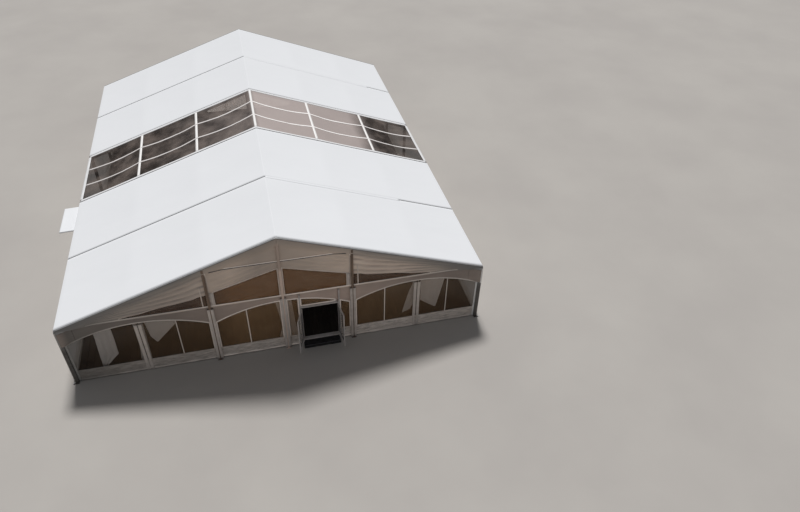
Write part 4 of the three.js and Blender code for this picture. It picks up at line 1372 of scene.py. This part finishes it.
make_front_lower()
make_gable(front_gable, "front_gable_panel")
make_back_lower()
make_gable(back_gable, "back_wall")
make_welts(front_lower, "portal_frame_1")
make_welts(back_lower, "portal_frame_6")
make_sides()


# Frame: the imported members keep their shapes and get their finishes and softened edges.
def dress(name, material, bevel=0.004):
    """A packed member with a finish of its own and softened edges."""
    obj = frame["nodes"][name]
    if not obj.material_slots:
        obj.data.materials.append(material)
    for place in obj.material_slots:
        place.material = material
    if bevel:
        obj.modifiers.new("weld", "WELD").merge_threshold = 0.0001
        soften(obj, bevel)


def dress_frame():
    for line in range(BAYS + 1):
        dress(f"portal_frame_{line + 1}", ALUMINIUM, 0.0)
    dress("ridge_purlin", PURLIN_WHITE)
    for height in ("high", "low", "eave"):
        for _, side in SIDES:
            dress(f"{height}_purlin_{side}", PURLIN_WHITE)
    for name in ("front_transom", "back_transom", "front_mid_post_left", "front_mid_post_right"):
        dress(name, ALUMINIUM)
    for prefix, *_ in ENDS:
        for name, material in (("left", SHADED_METAL), ("centre", COATED_POST), ("right", SHADED_METAL)):
            dress(f"{prefix}_upright_{name}", material)
    dress("door_frame", DOOR_WHITE)


def make_rafter_caps():
    """The grooved strips along the top of the end frames' rafters, over the ends of the purlins."""
    columns, rows = 121, 5
    front_inset, back_inset, groove_half, groove_depth = 0.003, 0.012, 0.02, 0.0015
    for name, level, outward in ENDS:
        outer, inner = FRAME_HALF - front_inset, FRAME_HALF - back_inset
        ends = sorted((level + outward * outer, level - outward * inner))
        across, y = np.meshgrid(np.linspace(-SLOPE_LENGTH, SLOPE_LENGTH, columns), np.linspace(*ends, rows))
        groove = groove_depth * (np.abs(y - sum(ends) / 2) < groove_half)
        skin = Skin().grid(taut(across, y, -groove - JOINT_SUNK))
        skin.sheet(f"rafter_cap_{name}", ALUMINIUM, "frame_aluminium", FOLD_THICK)


def make_stakes():
    """Stakes with broad heads in the base plates of the legs and uprights."""
    plate, neck, top, radius = 0.012, 0.05, 0.066, 0.012
    leg_x, leg_reach, upright_out, upright_reach = LEG_EDGE + 0.045, 0.095, 0.105, 0.08
    places = [(side * leg_x, line * BAY + step) for side, _ in SIDES for line in range(BAYS + 1)
              for step in (-leg_reach, leg_reach)]
    places += [(x + step, level + outward * upright_out) for _, level, outward in ENDS for x in UPRIGHTS
               for step in (-upright_reach, upright_reach)]
    stakes = Skin()
    for x, y in places:
        stakes.rod((x, y, plate), (x, y, neck), radius)
        stakes.rod((x, y, neck), (x, y, top), 2 * radius)
    stakes.piece("frame_stakes", STEEL, bevel=0.002)


def make_splices():
    """Bolted splice plates on both faces of the frames at the ridge and near the eaves, apart from the
    outer faces of the two end frames."""
    drop, rise, thick, bolt_radius, bolt_head = 0.02, 0.15, 0.006, 0.011, 0.012
    splices, bolts = Skin(), Skin()
    faces = [(line, face) for line in range(BAYS + 1) for face in (-1, 1)]
    for line, face in faces[1:-1]:
        near = line * BAY + face * (FRAME_HALF + 0.0005)
        outer = near + face * thick
        for middle, reach in ((0.0, 0.36), (-7.9, 0.5), (7.9, 0.5)):
            xs = np.array([middle - reach, middle, middle + reach])
            top = gable_top(xs) - drop
            outline = list(zip(xs, top)) + list(zip(xs[::-1], top[::-1] - rise))
            splices.prism(outline, lambda a, b, y: (a, y, b), *sorted((near, outer)))
            for share in (-0.8, -0.4, 0.4, 0.8):
                x = middle + share * reach
                z = float(gable_top(x)) - drop - rise / 2
                bolts.rod((x, outer, z), (x, outer + face * bolt_head, z), bolt_radius, 6)
    splices.piece("frame_splice_plates", STEEL, bevel=0.0015)
    bolts.piece("frame_bolts", STEEL)


def make_head_plates():
    """Plates at the heads of the outer uprights, in front of the cloth."""
    half, tall, drop, thick, clear = 0.045, 0.16, 0.035, 0.006, 0.004
    heads = Skin()
    for _, level, outward in ENDS:
        face = level + outward * (RAFTER_COVER - FRONT_PLANE + clear)
        for x in (-THIRD, THIRD):
            top = float(gable_top(x)) - drop
            heads.box((x - half, x + half), sorted((face, face + outward * thick)), (top - tall, top))
    heads.piece("upright_head_plates", SHADED_METAL, bevel=0.003)


dress_frame()
make_rafter_caps()
make_stakes()
make_splices()
make_head_plates()

# Floor: planks on the bearers, bay by bay
PLANK_GAP = 0.004
DECK = 0.04
BEARERS = 9
BEARER = 0.06


def make_floor():
    width = FLOOR_HIGH.x - FLOOR_LOW.x
    count = round(width / PLANK)
    pitch = width / count
    half_gap = PLANK_GAP / 2
    under_deck = FLOOR_HIGH.z - DECK
    planks = Skin()
    for bay in range(BAYS):
        ends = (max(FLOOR_LOW.y, bay * BAY + half_gap), min(FLOOR_HIGH.y, (bay + 1) * BAY - half_gap))
        for index in range(count):
            left = FLOOR_LOW.x + index * pitch
            planks.box((left + half_gap, left + pitch - half_gap), ends, (under_deck, FLOOR_HIGH.z))
    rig.replaces(planks.piece("floor_planks", BOARDS, "floor_boards", 0.002), "floor")
    bearers = Skin()
    pitch = (width - BEARER) / (BEARERS - 1)
    for index in range(BEARERS):
        left = FLOOR_LOW.x + index * pitch
        bearers.box((left, left + BEARER), (FLOOR_LOW.y, FLOOR_HIGH.y), (FLOOR_LOW.z, under_deck))
    bearers.piece("floor_bearers", TIMBER, "floor_boards", 0.004)


def make_step():
    """The step in front of the sill: a boxed tread with a ribbed mat and an edge strip."""
    inset, rib, rib_rise, strip, tread, mat_depth, gap = 0.012, 0.020, 0.004, 0.018, 0.175, 0.02, 0.002
    front, back = SILL_LOW.y, -FRAME_HALF
    valley, under_mat = tread - rib_rise, tread - mat_depth
    case_top = under_mat - gap
    ribs = [(front + strip, valley)]
    for index in range(int((back - front - strip) / rib)):
        start = front + strip + index * rib
        ribs += [(start + 0.15 * rib, tread), (start + 0.70 * rib, tread), (start + 0.85 * rib, valley)]
    ribs += [(back, valley), (back, under_mat), (front + strip, under_mat)]
    mat = Skin().prism(ribs, lambda a, b, x: (x, a, b), DOOR_LEFT + inset, DOOR_RIGHT - inset)
    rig.replaces(mat.piece("step_mat", MAT, "black_mat"), "entrance_step")
    outline = [(front, 0.0), (SILL_HIGH.y, 0.0), (SILL_HIGH.y, SILL_HIGH.z), (back, SILL_HIGH.z),
               (back, case_top), (front, case_top)]
    case = Skin().prism(outline, lambda a, b, x: (x, a, b), DOOR_LEFT, DOOR_RIGHT)
    case.piece("step_case", MAT, "black_mat", 0.003)
    edging = Skin().box((DOOR_LEFT, DOOR_RIGHT), (front, front + strip - 0.001), (case_top, tread))
    edging.piece("step_edge_strip", RUBBER, "black_mat", 0.003)


make_floor()
make_step()

# Door leaves. along is measured from the hinge across the leaf, depth from the hinge line inwards.
LEAF_THICK = 0.04
HINGE_SIDE = 0.003
HINGE_FORWARD = 0.014
LEAF_GAP = 0.006
MEETING_GAP = 0.010
LEAF_WIDTH = (DOOR_RIGHT - DOOR_LEFT - MEETING_GAP) / 2 - LEAF_GAP
ALONG = (HINGE_SIDE, HINGE_SIDE + LEAF_WIDTH)
DEPTH = (HINGE_FORWARD, HINGE_FORWARD + LEAF_THICK)
STILE = 0.09
TOP_RAIL = 0.10
BOTTOM_RAIL = 0.26
HINGE_HEIGHTS = (0.53, 1.30, 2.06)


class Leaf:
    """One leaf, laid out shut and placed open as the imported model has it."""

    def __init__(self, name, mirror, open_degrees):
        self.name = name
        self.mirror = mirror
        self.turn = math.radians(-mirror * open_degrees)
        joint = next(item for item in frame["joints"] if item["name"] == f"{name}_door_hinge")
        self.hinge = Vector(joint["pos_m"])
        self.low, self.high = (corner.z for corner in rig.box(f"door_leaf_{name}"))

    def place(self, along, depth, z):
        x, y = self.mirror * along, depth
        cos, sin = math.cos(self.turn), math.sin(self.turn)
        return (self.hinge.x + x * cos - y * sin, self.hinge.y + x * sin + y * cos, z)

    def bar(self, skin, along, depth, heights):
        skin.prism(rectangle(along, depth), self.place, *heights)

    def surround(self, skin, along, depth, heights, stile, bottom, top):
        """Four bars round an opening, with the stiles' width and the two rails' heights."""
        inner = (along[0] + stile, along[1] - stile)
        self.bar(skin, (along[0], inner[0]), depth, heights)
        self.bar(skin, (inner[1], along[1]), depth, heights)
        self.bar(skin, inner, depth, (heights[0], heights[0] + bottom))
        self.bar(skin, inner, depth, (heights[1] - top, heights[1]))

    def piece(self, skin, name, material, bevel=0.0):
        body = f"{self.name}_door"
        return skin.piece(f"{self.name}_leaf_{name}", material, "door_frame_white", bevel, body)

    def make(self):
        slab = Skin()
        self.surround(slab, ALONG, DEPTH, (self.low, self.high), STILE, BOTTOM_RAIL, TOP_RAIL)
        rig.replaces(self.piece(slab, "frame", DOOR_WHITE, 0.003), f"door_leaf_{self.name}")
        self.make_pane()
        self.make_handles()
        self.make_kick_plate()
        self.make_hinges()

    def make_pane(self):
        """The glazing and the beads that hold it, on both faces."""
        glass_half, bead, play = 0.003, 0.014, 0.004
        opening = (ALONG[0] + STILE, ALONG[1] - STILE)
        heights = (self.low + BOTTOM_RAIL, self.high - TOP_RAIL)
        middle = sum(DEPTH) / 2
        glass, beads = Skin(), Skin()
        self.bar(glass, opening, (middle - glass_half, middle + glass_half), heights)
        self.piece(glass, "glass", DOOR_GLASS)
        for face in ((DEPTH[0] + play, middle - play), (middle + play, DEPTH[1] - play)):
            self.surround(beads, opening, face, heights, bead, bead, bead)
        self.piece(beads, "beads", RUBBER, 0.002)

    def make_handles(self):
        """A plate, a spindle and a lever on each face."""
        height, lever, tail, stand, radius = 1.40, 0.12, 0.008, 0.045, 0.009
        plate_half, plate_thick, plate_drop, plate_rise = 0.02, 0.007, 0.14, 0.05
        spindle = ALONG[1] - STILE / 2
        handles = Skin()
        for face, out in zip(DEPTH, (-1, 1)):
            self.bar(handles, (spindle - plate_half, spindle + plate_half),
                     sorted((face, face + out * plate_thick)),
                     (height - plate_drop, height + plate_rise))
            reach = face + out * stand
            handles.rod(self.place(spindle, face, height), self.place(spindle, reach, height), radius)
            handles.rod(self.place(spindle + tail, reach, height),
                        self.place(spindle - lever, reach, height), radius)
        self.piece(handles, "handles", STEEL, 0.0015)

    def make_kick_plate(self):
        inset, thick = 0.03, 0.0015
        kick = Skin()
        self.bar(kick, (ALONG[0] + inset, ALONG[1] - inset), (DEPTH[0] - thick, DEPTH[0]),
                 (self.low + inset, self.low + BOTTOM_RAIL - inset))
        self.piece(kick, "kick_plate", STEEL)

    def make_hinges(self):
        """The leaf's knuckles and the plates that join them to it."""
        knuckle, play, radius, plate, plate_half = 0.04, 0.0003, 0.008, 0.02, 0.004
        hinges = Skin()
        for height in HINGE_HEIGHTS:
            foot, top = height + knuckle + play, height + 2 * knuckle - play
            hinges.rod(self.place(0, 0, foot), self.place(0, 0, top), radius, 16)
            self.bar(hinges, (0.0, HINGE_SIDE + plate), (-plate_half, plate_half), (foot, top))
            self.bar(hinges, (HINGE_SIDE + plate_half, HINGE_SIDE + plate), (-plate_half, DEPTH[0]),
                     (foot, top))
        self.piece(hinges, "hinges", STEEL)


Leaf("left", 1, 110).make()
Leaf("right", -1, 98).make()

# Curtains: gathered cloth between two edges, given as (x, z) points from the top down
CURTAIN_PLANE = 0.150
CURTAIN_THICK = 0.0012
CURTAIN_ROWS = 61
FOLD_COLUMNS = 12
LEAST_COLUMNS = 33
SWAY = 0.10
BEHIND = CURTAIN_PLANE + 0.012
TOP = 3.12
FOOT = FLOOR_HIGH.z + 0.012


def along_edge(points, share):
    points = np.array(points, float)
    places = np.linspace(0, 1, len(points))
    return np.stack([np.interp(share, places, values) for values in points.T], -1)


def surface_area(points):
    first = np.cross(points[1:, 1:] - points[:-1, :-1], points[1:, :-1] - points[:-1, 1:])
    return float(np.linalg.norm(first, axis=-1).sum() / 2)


def hang(name, packed, left, right, folds, seed, depth=0.022, plane=CURTAIN_PLANE, hold="gathered"):
    """A curtain with soft folds that run down it and sway a little from side to side. packed is the node
    that it stands for."""
    share = np.linspace(0, 1, CURTAIN_ROWS)[:, None]
    across = np.linspace(0, 1, max(LEAST_COLUMNS, FOLD_COLUMNS * folds + 1))[None, :]
    left_edge, right_edge = along_edge(left, share[:, 0]), along_edge(right, share[:, 0])
    flat = left_edge[:, None, :] + (right_edge - left_edge)[:, None, :] * across[..., None]
    sway = SWAY * waves(share * 3, across, 1.3, 1.7, seed)
    gather = 0.6 + 0.4 * waves(across * folds, share, 2.7, 2.0, seed + 1)
    y = plane + depth * gather * np.sin(2 * math.pi * folds * (across + sway / folds))
    points = np.stack([flat[..., 0], y, flat[..., 1]], -1)
    piece = Skin().grid(points).sheet(name, CURTAIN, "curtain_cloth", CURTAIN_THICK)
    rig.replaces(piece, packed)
    width, length = longest(points, 1), longest(points, 0)
    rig.sheet(piece, flat=(width, length), held=hold, rests_on=["front_transom"],
             area=min(surface_area(points), width * length))


def make_curtains():
    hang("curtain_strip_left", "curtain_mid_left",
         [(-7.80, TOP), (-7.81, 2.15), (-7.86, 1.35), (-7.89, 0.52)],
         [(-7.08, TOP), (-7.09, 2.00), (-7.12, 1.16), (-7.69, 0.55)], folds=3, seed=71, depth=0.014)
    hang("curtain_flag_left", "curtain_mid_left",
         [(-5.85, TOP), (-5.74, 2.60), (-5.67, 1.88), (-5.47, 1.50)],
         [(-4.44, TOP), (-4.55, 2.42), (-5.00, 1.95), (-5.42, 1.52)], folds=3, seed=73, depth=0.010,
         hold="draped")
    hang("curtain_drape_left", "curtain_mid_left", [(-6.24, TOP), (-6.18, 1.75), (-6.33, FOOT)],
         [(-5.82, TOP), (-5.84, 1.75), (-5.88, FOOT)], folds=6, seed=75, plane=BEHIND)
    hang("curtain_centre_left", "curtain_centre", [(-0.38, TOP), (-0.16, 1.25), (-0.39, FOOT)],
         [(-0.02, TOP), (0.02, 1.25), (0.08, FOOT)], folds=5, seed=77)
    hang("curtain_centre_right", "curtain_centre", [(0.02, TOP), (0.10, 1.25), (0.12, FOOT)],
         [(0.33, TOP), (0.44, 1.25), (0.60, FOOT)], folds=6, seed=79)
    hang("curtain_flag_right", "curtain_mid_right",
         [(6.20, TOP), (6.22, 2.30), (6.25, 1.49), (6.96, 0.93)],
         [(7.40, TOP), (7.33, 2.40), (7.20, 1.75), (7.03, 0.92)], folds=3, seed=81, depth=0.010,
         hold="draped")
    hang("curtain_drape_right", "curtain_mid_right",
         [(5.83, TOP), (5.84, 2.62), (5.60, 1.84), (5.38, 0.84)],
         [(6.18, TOP), (6.15, 2.50), (6.05, 1.70), (5.77, 1.00)], folds=6, seed=83)
    hang("curtain_tail_right", "curtain_mid_right", [(5.96, 2.60), (5.90, 1.20), (5.92, FOOT)],
         [(6.20, 2.60), (6.16, 1.20), (6.16, FOOT)], folds=4, seed=85, plane=BEHIND)


make_curtains()

# Side canopy: a taut sheet on a tube frame
CANOPY_INNER = -9.20
CANOPY_FALL = 0.03
CANOPY_SAG = 0.012
CANOPY_EDGE = 0.05
CANOPY_COLUMNS, CANOPY_ROWS, EDGE_ROWS = 17, 33, 4
TUBE = 0.018


def make_canopy():
    outer, inner, top = CANOPY_LOW.x, CANOPY_INNER, CANOPY_HIGH.z
    ends = (CANOPY_LOW.y, CANOPY_HIGH.y)
    x, y = np.meshgrid(np.linspace(outer, inner, CANOPY_COLUMNS), np.linspace(*ends, CANOPY_ROWS))
    share_x = (x - outer) / (inner - outer)
    share_y = (y - ends[0]) / (ends[1] - ends[0])
    sag = CANOPY_SAG * np.sin(math.pi * share_x) * np.sin(math.pi * share_y)
    points = np.stack([x, y, top - CANOPY_FALL * (1 - share_x) - sag], -1)
    loop = np.concatenate([points[0, :-1], points[:-1, -1], points[-1, :0:-1], points[:0:-1, 0],
                           points[:1, 0]])
    drops = [loop - (0, 0, drop) for drop in np.linspace(0, CANOPY_EDGE, EDGE_ROWS)]
    piece = Skin().grid(points).grid(np.array(drops)).sheet("canopy_sheet", ROOF_WHITE)
    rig.replaces(piece, "side_canopy")
    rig.sheet(piece, flat=(inner - outer + 2 * CANOPY_EDGE, ends[1] - ends[0] + 2 * CANOPY_EDGE),
             held="stretched", rests_on=["canopy_tubes"])
    make_canopy_tubes(outer, inner, ends, top)


def make_canopy_tubes(outer, inner, ends, top):
    """Tubes round the canopy and across its middle, and two arms with feet against the wall."""
    play, drop, foot_half, wall_x = 0.004, 0.012, 0.03, -SIDE_HIGH.x
    near, far = inner - TUBE - play, outer + TUBE + play
    rise_near = top - TUBE - drop
    rise_far = rise_near - CANOPY_FALL
    low, high = ends[0] + TUBE + play, ends[1] - TUBE - play
    tubes = Skin()
    tubes.rod((far, low, rise_far), (far, high, rise_far), TUBE)
    tubes.rod((near, low, rise_near), (near, high, rise_near), TUBE)
    for y in (low, (low + high) / 2, high):
        tubes.rod((far, y, rise_far), (near, y, rise_near), TUBE)
    for y in (low, high):
        tubes.rod((near, y, rise_near), (wall_x, y, rise_near), TUBE)
        tubes.rod((wall_x, y, rise_near - foot_half), (wall_x, y, rise_near + foot_half), TUBE)
    tubes.piece("canopy_tubes", STEEL, smooth=True)


make_canopy()

VISUAL_BOX = [list(corner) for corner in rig.bounds()]
with open("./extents.json", "w") as size_file:
    json.dump([CAD_BOX, VISUAL_BOX], size_file)
